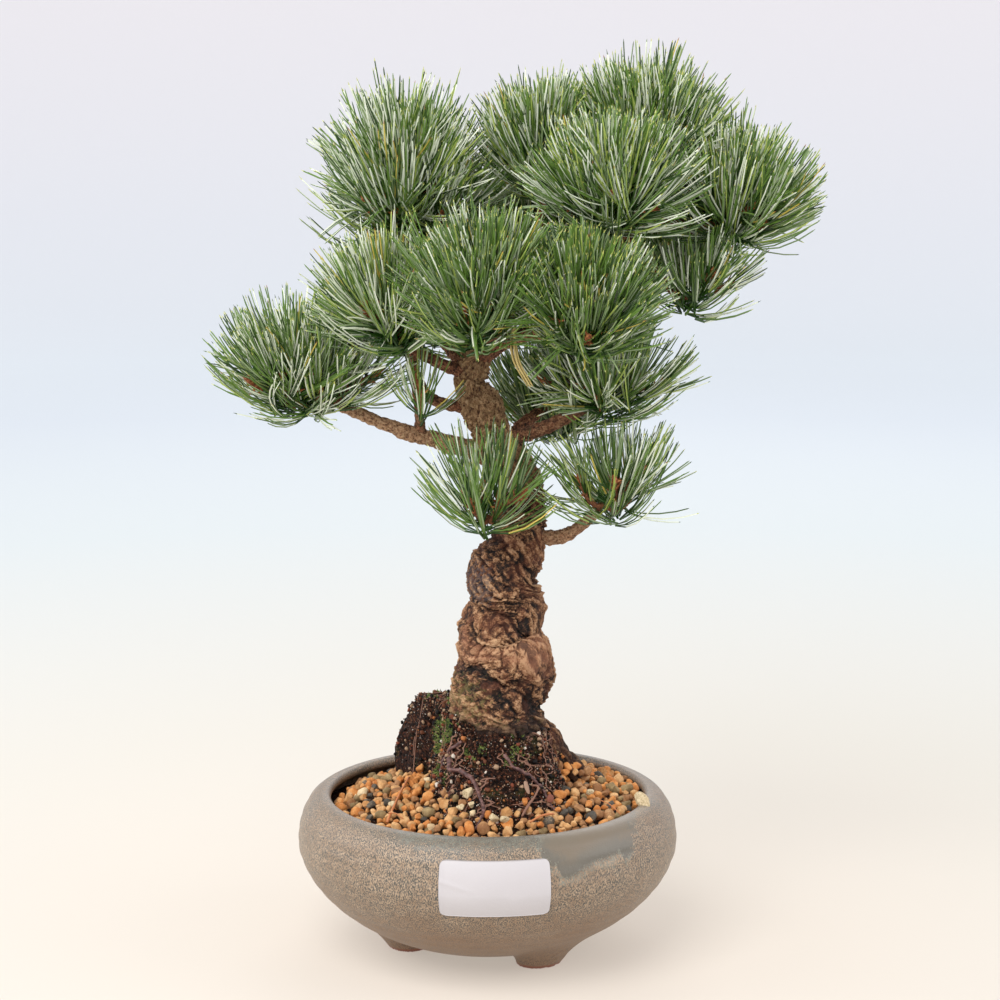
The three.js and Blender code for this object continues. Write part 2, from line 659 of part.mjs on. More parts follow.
// True where a stretch of twig is clear of every limb. Just ahead of the stem the bough's own
// tip is near, and doesn't count.
function clearOfLimbs(stem, heading, a, b, limbs) {
  for (let t = 0; t <= 1; t += 1 / CLEAR.samples) {
    const p = a.clone().lerp(b, t);
    const ahead = p.clone().sub(stem);
    const nearStem = ahead.length() < 2 * TWIG.lead && ahead.dot(heading) > 0;
    if (!nearStem && !freeOf(limbs, p, TWIG.radius)) return false;
  }
  return true;
}

// Twigs that join the shoots to the stem: each grows from the nearest joint, where a long
// way back to the stem counts against a joint. It sags, or arches where a limb is below it,
// and a shoot that no twig can reach is left out. Returns the shoots with their twigs.
function twigsOf(shoots, stem, heading, limbs) {
  const joints = [{ at: stem.clone().addScaledVector(heading, TWIG.lead), from: null, way: 0, tips: 0 }];
  const reached = [];
  shoots.forEach((shoot) => {
    const { tip, axis } = shoot;
    const heel = tip.clone().addScaledVector(axis, -(CORE.rings - 1) * CORE.step - CORE.tail);
    const cost = (joint) => joint.at.distanceTo(heel) + TWIG.longWay * joint.way;
    const start = joints.reduce((best, joint) => (cost(joint) < cost(best) ? joint : best));
    const span = heel.distanceTo(start.at);
    const middle = start.at.clone().lerp(heel, 0.5);
    const bends = TWIG.bends.map((rise) => middle.clone().setZ(middle.z + rise * span));
    const clear = (a, b) => clearOfLimbs(stem, heading, a, b, limbs);
    const bent = bends.find((p) => clear(start.at, p) && clear(p, heel));
    if (!bent || span < TWIG.shortest) return;
    const bend = { at: bent, from: start, way: start.way + span / 2, tips: 0 };
    const inside = heel.addScaledVector(axis, CORE.tail + TWIG.inCore);
    const end = { at: inside, from: bend, way: start.way + span, tips: 0 };
    joints.push(bend, end);
    for (let joint = end; joint; joint = joint.from) joint.tips += 1;
    reached.push({ shoot, end });
  });
  const radius = (joint) => TWIG.radius * Math.max(joint.tips, 1) ** TWIG.power;
  const twigs = reached.map(({ end }) => {
    const chain = [end, end.from, end.from.from];
    return { places: chain.map((joint) => joint.at), radii: [radius(end), radius(end), radius(end.from)] };
  });
  const trunk = { places: [stem, joints[0].at], radii: [radius(joints[0]), radius(joints[0])] };
  return { trunk, twigs, shoots: reached.map(({ shoot }) => shoot) };
}

// The distance from a place to the skin of a stretch that runs from a to b and tapers.
function distanceToStretch(p, { a, b, from, to }) {
  const along = b.clone().sub(a);
  const t = THREE.MathUtils.clamp(p.clone().sub(a).dot(along) / along.lengthSq(), 0, 1);
  return a.clone().addScaledVector(along, t).distanceTo(p) - (from + (to - from) * t);
}

// How long a needle can grow from a foot, up to `length`, inside the mass's space and clear
// of limbs, twigs and the needles of other shoots.
function roomFor(mass, foot, way, length, limbs, stretches) {
  let reach = 0;
  for (let i = 1; i <= CLEAR.samples; i += 1) {
    const t = i / CLEAR.samples;
    const p = foot.clone().addScaledVector(way, length * t);
    const thick = NEEDLE.radius * (1 - t);
    const free = owns(mass, p, CLEAR.border + thick) && freeOf(limbs, p, thick)
      && stretches.every((stretch) => distanceToStretch(p, stretch) > thick + CLEAR.needle);
    if (!free) break;
    reach = t;
  }
  return reach * length;
}

// Corners of a shoot's core, as places across and along it, and its faces. The faces at its
// tail carry no needle.
function coreOf() {
  const corners = [[0, 0, CORE.bud]];
  const faces = [];
  const at = (ring, i) => 1 + ring * CORE.sides + (i % CORE.sides);
  const tail = 1 + CORE.rings * CORE.sides;
  for (let ring = 0; ring < CORE.rings; ring += 1) {
    for (let i = 0; i < CORE.sides; i += 1) {
      const turn = (2 * Math.PI * (i + ring / 2)) / CORE.sides;
      corners.push([CORE.radius * Math.cos(turn), CORE.radius * Math.sin(turn), -ring * CORE.step]);
      const next = ring + 1 < CORE.rings;
      if (ring === 0) faces.push({ ends: [0, at(0, i), at(0, i + 1)], needle: true });
      if (next) faces.push({ ends: [at(ring, i), at(ring + 1, i), at(ring, i + 1)], needle: true });
      if (next) faces.push({ ends: [at(ring + 1, i), at(ring + 1, i + 1), at(ring, i + 1)], needle: true });
      if (!next) faces.push({ ends: [tail, at(ring, i + 1), at(ring, i)], needle: false });
    }
  }
  corners.push([0, 0, -(CORE.rings - 1) * CORE.step - CORE.tail]);
  return { corners, faces };
}

// One shoot with its needles as a single skin.
function shootSolid(mass, shoot, random, limbs, stretches) {
  const { corners, faces } = coreOf();
  const side = vector(ACROSS).cross(shoot.axis).normalize();
  const up = shoot.axis.clone().cross(side);
  const place = ([x, y, z]) => shoot.tip.clone().addScaledVector(side, x)
    .addScaledVector(up, y).addScaledVector(shoot.axis, z);
  const places = corners.map(place);
  const index = [];
  const grown = [];
  faces.forEach(({ ends, needle }) => {
    const [a, b, c] = ends.map((end) => corners[end]);
    const middle = a.map((v, k) => (v + b[k] + c[k]) / 3);
    const share = THREE.MathUtils.clamp(-middle[2] / ((CORE.rings - 1) * CORE.step), 0, 1);
    const open = THREE.MathUtils.lerp(NEEDLE.narrowest, NEEDLE.widest, share ** NEEDLE.opening);
    const angle = THREE.MathUtils.degToRad(open + NEEDLE.jitter.open * (random() - 0.5));
    const turn = Math.atan2(middle[1], middle[0]) + NEEDLE.jitter.turn * (random() - 0.5);
    const length = needleLength(mass) * THREE.MathUtils.lerp(...NEEDLE.spread, random());
    const way = shoot.axis.clone().multiplyScalar(Math.cos(angle))
      .addScaledVector(side, Math.sin(angle) * Math.cos(turn))
      .addScaledVector(up, Math.sin(angle) * Math.sin(turn));
    way.z += NEEDLE.lift;
    way.normalize();
    const foot = place(middle);
    const reach = needle ? roomFor(mass, foot, way, length, limbs, stretches) : 0;
    if (reach < NEEDLE.shortest * needleLength(mass)) {
      index.push(...ends);
      return;
    }
    const tip = foot.clone().addScaledVector(way, reach);
    const last = places.push(tip) - 1;
    ends.forEach((end, k) => index.push(end, ends[(k + 1) % 3], last));
    grown.push({ a: foot, b: tip, from: NEEDLE.radius, to: 0 });
  });
  const geometry = new THREE.BufferGeometry();
  const numbers = places.flatMap((p) => p.toArray());
  geometry.setAttribute('position', new THREE.Float32BufferAttribute(numbers, 3));
  geometry.setIndex(index);
  return { solid: solidOf(geometry), grown };
}

const coreStretch = ({ tip, axis }) => {
  const tail = tip.clone().addScaledVector(axis, -(CORE.rings - 1) * CORE.step);
  return { a: tip, b: tail, from: CORE.radius, to: CORE.radius };
};

const twigStretches = ({ places, radii }) => places.slice(1).map(
  (b, k) => ({ a: places[k], b, from: radii[k], to: radii[k + 1] }),
);

function makeMass(mass, rows, limbs) {
  const tip = vector(rows[rows.length - 1]);
  const heading = tip.clone().sub(vector(rows[rows.length - 2])).normalize();
  const stem = tip.clone().addScaledVector(heading, GAP);
  const planned = shootsOf(mass, stem, heading, limbs);
  const { trunk, twigs, shoots } = twigsOf(planned, stem, heading, limbs);
  const random = seeded(mass.seed + 100);
  const needles = [];
  const solids = shoots.map((shoot, i) => {
    const cores = shoots.filter((other) => other !== shoot).map(coreStretch);
    const wood = twigs.filter((_, k) => k !== i).flatMap(twigStretches);
    const taken = [...cores, ...wood, ...needles];
    const { solid, grown } = shootSolid(mass, shoot, random, limbs, taken);
    needles.push(...grown);
    return solid;
  });
  const wood = [trunk, ...twigs].map(({ places, radii }) => twigSolid(places, radii));
  return mainBody(join([...wood, ...solids]));
}

// Assembly

addPiece('pot', makePot(), MATERIALS.stoneware);
addPiece('label', makeLabel(), MATERIALS.paper);
addPiece('soil', makeSoil(), MATERIALS.soil);

const trunkWide = trunkSolid(GAP);
const moundWide = moundSolid(2 * GAP);
let rootBall = moundSolid().subtract(trunkWide);
let gravel = makeGravel(seeded(GRAVEL.seed)).subtract(moundWide).subtract(trunkWide);
for (const [name, spec] of Object.entries(ROOTS)) {
  addPiece(name, mainBody(limbSolid(rootRows(spec)).subtract(trunkWide)), MATERIALS.root);
  const furrow = limbSolid(rootRows(spec), GAP);
  rootBall = rootBall.subtract(furrow);
  gravel = gravel.subtract(furrow);
}
addPiece('root_ball', mainBody(rootBall), MATERIALS.soil);
addPiece('gravel', mainBody(gravel), MATERIALS.gravel);
addPiece('trunk', trunkSolid(), MATERIALS.bark);

// Every bough starts inside the limb that carries it, and is cut clear of the wood before it.
const wider = [trunkWide];
const balls = [];
const addBalls = (rows) => smooth(rows, BALL_STEPS).forEach((row) => {
  balls.push({ at: vector(row), radius: row[3] });
});
addBalls(trunkRows);
const boughRows = {};
for (const [name, spec] of Object.entries(BOUGHS)) {
  boughRows[name] = limbRows(spec);
  const body = wider.reduce((left, limb) => left.subtract(limb), limbSolid(boughRows[name]));
  addPiece(name, mainBody(body), MATERIALS.bark);
  wider.push(limbSolid(boughRows[name], GAP));
  addBalls(boughRows[name]);
}
for (const [name, mass] of Object.entries(MASSES)) {
  addPiece(name, makeMass(mass, boughRows[mass.carrier], balls), MATERIALS.needles);
}

// The origin is the middle of the footprint, on the table.
const box = new THREE.Box3().setFromObject(root);
root.position.set(-(box.min.x + box.max.x) / 2, -(box.min.y + box.max.y) / 2, 0);

export default root;
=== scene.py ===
# %% [markdown]
# A small Japanese white pine, grown as an informal upright bonsai, in its stoneware bowl.
# The packed model already gives every limb, every mass of needles and the bowl at real size.
# This lesson dresses it: bark with real relief, needles in bundles of five, loose gravel, a
# crumbly root ball and a speckled glaze. Everything is made by code, so it is the same each run.

# %% Open the frame
import json
import math

import bmesh
import bpy
import numpy as np
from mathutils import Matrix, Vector


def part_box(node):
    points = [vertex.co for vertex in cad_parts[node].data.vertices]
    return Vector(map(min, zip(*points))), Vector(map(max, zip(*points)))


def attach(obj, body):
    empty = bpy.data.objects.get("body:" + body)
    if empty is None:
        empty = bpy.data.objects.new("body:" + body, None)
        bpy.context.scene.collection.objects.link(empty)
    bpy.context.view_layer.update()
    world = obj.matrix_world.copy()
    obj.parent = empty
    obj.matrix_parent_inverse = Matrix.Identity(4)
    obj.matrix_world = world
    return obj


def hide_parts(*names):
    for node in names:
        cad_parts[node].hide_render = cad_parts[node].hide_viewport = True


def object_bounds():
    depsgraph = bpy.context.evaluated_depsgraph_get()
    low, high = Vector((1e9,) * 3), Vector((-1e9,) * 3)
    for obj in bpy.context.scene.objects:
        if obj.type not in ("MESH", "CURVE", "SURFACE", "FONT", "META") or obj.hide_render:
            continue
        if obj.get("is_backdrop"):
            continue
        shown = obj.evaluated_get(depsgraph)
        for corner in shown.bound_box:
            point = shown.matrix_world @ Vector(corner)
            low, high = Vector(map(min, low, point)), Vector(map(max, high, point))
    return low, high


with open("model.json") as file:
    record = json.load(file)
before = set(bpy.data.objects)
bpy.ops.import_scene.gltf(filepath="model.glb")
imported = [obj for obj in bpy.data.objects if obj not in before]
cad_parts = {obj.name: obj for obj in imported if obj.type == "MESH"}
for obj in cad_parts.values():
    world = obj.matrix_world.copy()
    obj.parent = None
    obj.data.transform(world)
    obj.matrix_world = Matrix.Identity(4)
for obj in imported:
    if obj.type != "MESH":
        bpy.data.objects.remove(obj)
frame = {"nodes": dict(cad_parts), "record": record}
cad_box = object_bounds()
print("nodes in the frame:", len(frame["nodes"]))

# %% [markdown]
# The tree was measured in millimetres from the point on the table under the middle of the
# bowl, so the lesson keeps those numbers and moves them into the frame in one place only.

# %% Millimetres from the bowl's axis, as metres in the frame
MM = 0.001
bowl_low, bowl_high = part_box("pot")
BOWL_AXIS = np.array([(bowl_low[0] + bowl_high[0]) / 2, (bowl_low[1] + bowl_high[1]) / 2, 0.0])


def to_frame(places):
    return np.asarray(places, float) * MM + BOWL_AXIS


print("bowl axis at", BOWL_AXIS.round(4))

# %% [markdown]
# The camera comes first, so that every later choice can be judged from the photograph's view:
# a long lens a little over a metre away, looking down by about ten degrees.

# %% Camera
CAMERA_PLACE = (5.9, -1191.6, 418.2)
CAMERA_TILT = 0.1709
camera_data = bpy.data.cameras.new("photo_camera")
camera_data.lens = 94.2
camera_data.sensor_width = 36.0
camera_data.clip_start = 0.05
camera = bpy.data.objects.new("photo_camera", camera_data)
camera.location = to_frame(CAMERA_PLACE)
camera.rotation_euler = (math.pi / 2 - CAMERA_TILT, 0.0, 0.0)
bpy.context.collection.objects.link(camera)
bpy.context.scene.camera = camera
print("camera at", [round(v, 3) for v in camera.location])

# %% [markdown]
# Materials are written as sums. A Wire holds one output of a node, and plus, minus, times and
# the rest add Math nodes behind it. Colours and vectors go through their own nodes, because a
# Math node would turn a colour grey. One method, make, adds any other node.

# %% Shader maths on sockets
class Wire:
    """One output of a node, which can be used in sums."""

    def __init__(self, socket):
        self.socket = socket
        self.tree = socket.id_data

    def make(self, kind, settings=None, inputs=None, output=0):
        """Adds a node: its settings first, then the values or links of its sockets."""
        node = self.tree.nodes.new(kind)
        for key, value in (settings or {}).items():
            if key == "stops":
                fill_ramp(node.color_ramp, value)
            else:
                setattr(node, key, value)
        for key, value in (inputs or {}).items():
            if isinstance(value, Wire):
                self.tree.links.new(value.socket, node.inputs[key])
            else:
                node.inputs[key].default_value = value
        return Wire(node.outputs[output])

    def math(self, operation, *values):
        return self.make("ShaderNodeMath", {"operation": operation}, dict(enumerate(values)))

    def __add__(self, other):
        return self.math("ADD", self, other)

    def __sub__(self, other):
        return self.math("SUBTRACT", self, other)

    def __rsub__(self, other):
        return self.math("SUBTRACT", other, self)

    def __mul__(self, other):
        return self.math("MULTIPLY", self, other)

    def __truediv__(self, other):
        return self.math("DIVIDE", self, other)

    __radd__ = __add__
    __rmul__ = __mul__

    def step(self, low, high):
        """0 below `low`, 1 above `high`, and smooth between them."""
        return self.make(
            "ShaderNodeMapRange", {"interpolation_type": "SMOOTHSTEP"},
            {"Value": self, "From Min": low, "From Max": high},
        )

    def mix(self, first, second):
        """The first colour where this value is 0, and the second where it is 1."""
        return self.make(
            "ShaderNodeMix", {"data_type": "RGBA"}, {0: self, 6: first, 7: second}, output=2,
        )

    def ramp(self, *stops):
        return self.make("ShaderNodeValToRGB", {"stops": stops}, {"Fac": self})

    def tones(self, *rows):
        """A ramp from rows of a position and a colour's red, green and blue on screen."""
        return self.ramp(*[(at, screen(*colour)) for at, *colour in rows])

    def times(self, *factors):
        """A vector times three factors."""
        return self.make("ShaderNodeVectorMath", {"operation": "MULTIPLY"}, {0: self, 1: factors})

    def noise(self, size, detail=4.0, roughness=0.55):
        """Cloudy noise at this place, with lumps about `size` millimetres across."""
        return self.make(
            "ShaderNodeTexNoise", None,
            {"Vector": self, "Scale": 1 / (size * MM), "Detail": detail, "Roughness": roughness},
        )

    def axis(self, name):
        return self.make("ShaderNodeSeparateXYZ", None, {"Vector": self}, output="XYZ".index(name))

    def bump(self, height, distance=0.4):
        """A normal from a height that goes from 0 to 1 over `distance` millimetres."""
        return self.make(
            "ShaderNodeBump", None, {"Height": height, "Strength": 1.0, "Distance": distance * MM},
        )


def fill_ramp(ramp, stops):
    """Sets a colour ramp to (position, colour) pairs."""
    while len(ramp.elements) < len(stops):
        ramp.elements.new(1.0)
    for element, (position, colour) in zip(ramp.elements, stops):
        element.position = position
        element.color = colour


print("Wire has", len([name for name in vars(Wire) if not name.startswith("__")]), "named steps")

# %% [markdown]
# Colours are easiest to judge as they look on a screen, so they are written that way and
# changed once into the light values that Blender works with.

# %% Finishes and colours
def screen(red, green, blue):
    """A colour as seen on screen, 0 to 255, as linear light with full alpha."""
    share = np.array([red, green, blue]) / 255
    light = np.where(share <= 0.04045, share / 12.92, ((share + 0.055) / 1.055) ** 2.4)
    return (*[float(v) for v in light], 1.0)


def socket_name(key):
    """The name on the shader of a socket, such as base_color."""
    return key.replace("_", " ").title().replace("Ior", "IOR")


def finish(name, **fixed):
    """A new material, its surface shader and a Wire that gives the place in the frame."""
    material = bpy.data.materials.new(name)
    material.use_nodes = True
    tree = material.node_tree
    surface = tree.nodes["Principled BSDF"]
    for socket, value in fixed.items():
        surface.inputs[socket_name(socket)].default_value = value
    place = Wire(tree.nodes.new("ShaderNodeTexCoord").outputs["Object"])
    return material, surface, place


def connect(surface, **wires):
    """Links wires to the named sockets of a surface."""
    for socket, wire in wires.items():
        wire.tree.links.new(wire.socket, surface.inputs[socket_name(socket)])


def plain(name, colour, roughness, **fixed):
    """A finish of one colour, for things too small to carry a pattern."""
    material, surface, _ = finish(name, roughness=roughness, **fixed)
    surface.inputs["Base Color"].default_value = colour
    return material


def grained(name, roughness, cloud, tones, bump=0.0):
    """A finish of one noise, coloured from its hollows to its tops."""
    material, surface, place = finish(name, roughness=roughness)
    grain = place.noise(*cloud)
    connect(surface, base_color=grain.tones(*tones))
    if bump:
        connect(surface, normal=place.bump(grain, bump))
    return material


print("mid brown in light values:", [round(v, 3) for v in screen(120, 90, 70)])

# %% [markdown]
# Bark, soil and pebbles need noise in their shape, not only in their colour. A noise that is
# worked out from hashed cells gives the same lumps on every machine. Plates are cells too:
# the nearest random centre gives each plate its number, and the gap to the next one its edge.

# %% Noise for shapes
def hashed(cells, seed):
    """A number from 0 to 1 for each cell of whole numbers."""
    x, y, z = (cells[..., k].astype(np.int64) for k in range(3))
    mixed = (x * 73856093) ^ (y * 19349663) ^ (z * 83492791) ^ (seed * 668265263)
    mixed = ((mixed ^ (mixed >> 15)) & 0xFFFFFFFF) * 1274126177
    mixed = ((mixed ^ (mixed >> 13)) & 0xFFFFFFFF) * 1103515245
    return ((mixed >> 8) & 0xFFFFFF) / 0xFFFFFF


def noise(places, size, seed=0):
    """Smooth noise from -1 to 1 with lumps about `size` across."""
    scaled = places / size
    base = np.floor(scaled)
    t = scaled - base
    t = t * t * (3 - 2 * t)
    total = np.zeros(places.shape[:-1])
    for corner in np.ndindex(2, 2, 2):
        offset = np.array(corner)
        weight = np.prod(np.where(offset == 1, t, 1 - t), axis=-1)
        total += weight * hashed(base + offset, seed)
    return 2 * total - 1


def clouds(places, size, octaves, seed=0):
    """Noise with finer and fainter noise on top of it."""
    return sum(noise(places, size / 2**k, seed + k) / 2**k for k in range(octaves))


def plates(places, size, seed):
    """For each place: how far it is into its plate from the edge, and its plate's number."""
    scaled = places / size
    base = np.floor(scaled)
    nearest = np.full(places.shape[:-1], 9.0)
    second = np.full(places.shape[:-1], 9.0)
    number = np.zeros(places.shape[:-1])
    for corner in np.ndindex(3, 3, 3):
        cell = base + np.array(corner) - 1
        centre = cell + np.stack([hashed(cell, seed + k) for k in range(3)], axis=-1)
        distance = np.linalg.norm(centre - scaled, axis=-1)
        closer = distance < nearest
        second = np.where(closer, nearest, np.minimum(second, distance))
        number = np.where(closer, hashed(cell, seed + 3), number)
        nearest = np.minimum(nearest, distance)
    return second - nearest, number


def smoothstep(values, low, high):
    t = np.clip((values - low) / (high - low), 0, 1)
    return t * t * (3 - 2 * t)


print("noise at one place:", round(float(noise(np.array([[3.0, 4.0, 5.0]]), 2.0)[0]), 4))

# %% [markdown]
# Every piece is an array of places and an array of faces. Filling a mesh from arrays is many
# times quicker than adding faces one by one, which matters with nearly two million of them.
# Each piece says which solids of the packed model it stands for, if any, and hides them.

# %% Pieces from arrays
def add_mesh(name, places, faces, materials, kinds=None, smooth=True, values=None):
    """An object from places in millimetres, with a material number for each face."""
    mesh = bpy.data.meshes.new(name)
    count, corners = faces.shape
    mesh.vertices.add(len(places))
    mesh.vertices.foreach_set("co", to_frame(places).astype(np.float32).ravel())
    mesh.loops.add(count * corners)
    mesh.loops.foreach_set("vertex_index", faces.astype(np.int32).ravel())
    mesh.polygons.add(count)
    starts = np.arange(0, count * corners, corners, dtype=np.int32)
    mesh.polygons.foreach_set("loop_start", starts)
    mesh.polygons.foreach_set("use_smooth", np.full(count, smooth))
    for material in materials:
        mesh.materials.append(material)
    if kinds is not None:
        mesh.polygons.foreach_set("material_index", kinds.astype(np.int32))
    for key, row in (values or {}).items():
        single = row.ndim == 1
        field = mesh.attributes.new(key, "FLOAT" if single else "FLOAT_VECTOR", "POINT")
        field.data.foreach_set("value" if single else "vector", row.astype(np.float32).ravel())
    mesh.update(calc_edges=True)
    piece = bpy.data.objects.new(name, mesh)
    bpy.context.collection.objects.link(piece)
    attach(piece, "root")
    triangles = count * (corners - 2)
    print(f"{name}: {len(places)} places, {triangles} triangles")
    return piece


def frame_slot(node):
    """The material slot that the record gives a node."""
    return next(s["material_slot"] for s in frame["record"]["subparts"] if s["node"] == node)


def add_piece(name, shape, materials, slot, replaces=(), **more):
    """A piece of the plant or the bowl, from its places and faces."""
    piece = add_mesh(name, *shape, materials, **more)
    if replaces:
        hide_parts(*replaces)


def polar(radius, bearing, level):
    """Places from a radius, a bearing in radians and a level."""
    rows = radius * np.cos(bearing), radius * np.sin(bearing), level
    return np.stack(np.broadcast_arrays(*rows), axis=-1)


def ring_faces(rings, sides):
    """Four-cornered faces between rings of places that each close on themselves."""
    k, i = np.meshgrid(np.arange(rings - 1), np.arange(sides), indexing="ij")
    j = (i + 1) % sides
    faces = [k * sides + i, k * sides + j, (k + 1) * sides + j, (k + 1) * sides + i]
    return np.stack(faces, axis=-1).reshape(-1, 4)


def closed_faces(rings, sides):
    """Triangles of a tube of rings. The two places after the rings close its ends."""
    faces = ring_faces(rings, sides)
    i = np.arange(sides)
    j = (i + 1) % sides
    last = (rings - 1) * sides
    foot = np.stack([np.full(sides, rings * sides), j, i], axis=-1)
    tip = np.stack([np.full(sides, rings * sides + 1), last + i, last + j], axis=-1)
    return np.concatenate([faces[:, [0, 1, 2]], faces[:, [0, 2, 3]], foot, tip])


def joined(parts):
    """Places and faces of several parts as one pair of arrays."""
    starts = np.cumsum([0] + [len(places) for places, _ in parts[:-1]])
    places = np.concatenate([places for places, _ in parts])
    faces = np.concatenate([faces + start for (_, faces), start in zip(parts, starts)])
    return places, faces


# %% [markdown]
# The studio is a pale round room with an open top: cream floor, pale blue wall and a lilac
# tint above, as in the photograph. A large soft light hangs in front and above, and weaker
# ones fill the sides and the back. The plain Standard view keeps the contrast of a photograph.

# %% Studio
ROOM = {"radius": 2300.0, "curve": 700.0, "height": 3000.0, "sides": 128}


def make_room():
    bend = np.linspace(0, math.pi / 2, 16)
    radii = np.concatenate([[1.0, 300.0, 900.0], ROOM["radius"] + ROOM["curve"] * np.sin(bend),
                            [ROOM["radius"] + ROOM["curve"]]])
    heights = np.concatenate([np.zeros(3), ROOM["curve"] * (1 - np.cos(bend)), [ROOM["height"]]])
    turns = np.linspace(0, 2 * math.pi, ROOM["sides"], endpoint=False)
    places = polar(radii[:, None], turns, heights[:, None])
    return places.reshape(-1, 3), ring_faces(len(radii), ROOM["sides"])


GLOW = 0.5
paper, paper_surface, paper_place = finish("studio_paper", roughness=0.95, emission_strength=GLOW)
distance = paper_place.make("ShaderNodeVectorMath", {"operation": "LENGTH"}, {0: paper_place}, output=1)
tint = distance * 0.22 + paper_place.axis("Z") * 0.2
backdrop = tint.tones(
    (0.02, 232, 222, 210), (0.09, 226, 222, 213), (0.24, 219, 226, 228), (0.4, 222, 230, 238),
    (0.52, 232, 240, 247), (0.64, 235, 238, 244), (0.78, 242, 238, 241),
)
# Half of the paper's light is its own and half is what falls on it.
paper_lit = paper_place.make(
    "ShaderNodeMix", {"data_type": "RGBA"}, {0: GLOW, 6: backdrop, 7: (0, 0, 0, 1)}, output=2,
)
connect(paper_surface, base_color=paper_lit, emission_color=backdrop)
room = add_mesh("studio_room", *make_room(), [paper])
room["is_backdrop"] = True


LIT_MIDDLE = (0.0, 0.0, 220.0)


def add_light(name, place, size, power, colour=(1.0, 1.0, 1.0)):
    """A square soft light that shines at the middle of the plant."""
    light = bpy.data.lights.new(name, "AREA")
    light.size = size
    light.energy = power
    light.color = colour
    lamp = bpy.data.objects.new(name, light)
    lamp.location = to_frame(place)
    aim = to_frame(LIT_MIDDLE) - to_frame(place)
    lamp.rotation_euler = Vector(aim).to_track_quat("-Z", "Y").to_euler()
    bpy.context.collection.objects.link(lamp)


add_light("front_light", (-600.0, -1100.0, 1500.0), 1.3, 30.0, (1.0, 0.985, 0.96))
add_light("left_light", (-1500.0, 100.0, 900.0), 1.2, 9.0, (0.95, 0.98, 1.0))
add_light("right_light", (1500.0, -200.0, 800.0), 1.2, 7.0)
add_light("back_light", (200.0, 1500.0, 1300.0), 1.2, 9.0)
world = bpy.data.worlds.new("studio_air")
world.use_nodes = True
air = world.node_tree.nodes["Background"]
air.inputs["Color"].default_value = screen(244, 246, 250)
air.inputs["Strength"].default_value = 0.55
bpy.context.scene.world = world
bpy.context.scene.view_settings.view_transform = "Standard"

# %% [markdown]
# The tree is a family of limbs. A limb is a row of places with a radius each, smoothed into a
# curve. These are the sizes of the solid model again, so that bark fits wood to the millimetre.

# %% Limbs of the tree
TRUNK = [
    (6, 0, 76, 22), (5.8, 0, 90, 21.5), (5.6, 0, 101, 21.6), (5.6, 0, 114, 21.8),
    (6.8, -1, 125, 22.2), (7.6, -1, 132.5, 22.8), (8.2, -1, 139, 20.8), (5.8, 0, 146, 18.4),
    (6.4, 0, 153, 18.8), (9.2, 1, 160, 17), (8, 1, 168.5, 16), (7.6, 0, 176, 15.7),
    (10.2, 0, 184, 15.6), (13.4, 0, 194, 13.2), (16, 1, 204, 11.8), (17, 2, 216, 9.9),
    (13, 1, 226, 9.8), (6, 0, 236, 9.8), (1.4, 0, 246, 9), (-2.6, -1, 256, 9.4),
    (-7.8, -1, 266, 7.4), (-6.6, -2, 275, 7.8), (-0.9, -3, 286, 6.4), (8.7, -1, 296, 5.6),
    (20, 4, 305, 5), (32, 8, 314, 4.4),
]
FLARE = (8.5, 4.5, (12, 1, 110), (24, 1, 102), (33, 1, 92), (43, 2, 80))
# Each bough: its radius at the foot and at the tip, and the points of its path.
BOUGHS = {
    "left_bough": (4.8, 2.6, (2, 0, 234), (-25, -3, 241.3), (-41, -7, 246.7), (-66, -12, 258)),
    "left_spur": (2.2, 1.7, (-30.4, -4, 243), (-31.2, -8, 256), (-32.5, -13, 265)),
    "middle_left_bough": (3, 2.2, (-8, -2, 271), (-21, -11, 277.3), (-33, -19, 284)),
    "upper_left_bough": (5.2, 3.2, (-7, 0, 275), (-21, 5, 291), (-28, 8, 306), (-30.5, 8, 322)),
    "front_bough": (4.4, 3.2, (-2, -4, 281), (1, -15, 288.5), (4, -28, 294)),
    "front_right_bough": (3.8, 2.8, (0, -3, 282), (14, -18, 290.5), (24, -29, 293.5), (33, -37, 297)),
    "right_bough": (4.2, 2.9, (28, 6, 311), (46, 6, 323), (68, 0, 337.5), (78, -2, 341)),
    "lower_right_spur": (2.2, 1.8, (56, 4, 329.5), (66, 1, 325), (74, -4, 321)),
    "top_left_bough": (3.8, 2.6, (18, 4, 303), (22, 9, 322), (24, 11, 340)),
    "top_bough": (3.3, 2.4, (44, 6, 321), (54, 10, 338), (62, 14, 352)),
    "top_front_bough": (2.4, 1.9, (53, 9, 337), (55, -8, 341), (57, -21, 347)),
    "middle_right_bough": (3.8, 2.4, (5, 0, 240), (23, -5, 245.6), (38, -10, 253.4), (49, -13, 260)),
    "low_right_bough": (4, 2.4, (14, 0, 195), (33.5, -4, 196.2), (43, -8, 202), (51, -14, 211)),
    "low_front_bough": (3.8, 2.4, (13.5, -2, 196), (8.7, -10, 201), (5.9, -20, 209)),
    "low_back_bough": (3.8, 2.4, (6, 2, 236), (16, 20, 244), (26, 36, 250)),
    "back_left_bough": (3, 2.2, (-2, 0, 256), (-22, 6, 257), (-32, 20, 265), (-36, 34, 278)),
    "back_top_bough": (3.6, 2.4, (17, 3, 303), (19, 24, 313), (20, 42, 323)),
    "back_right_bough": (2.8, 2, (52, 4, 326), (62, 20, 325), (71, 34, 326)),
}

print("limbs:", 1 + len(BOUGHS))

# %% [markdown]
# A grown limb has no corners. Blender's own curves could smooth it, but a few lines here give
# the same points as the solid's source, with the radius smoothed along with the path.

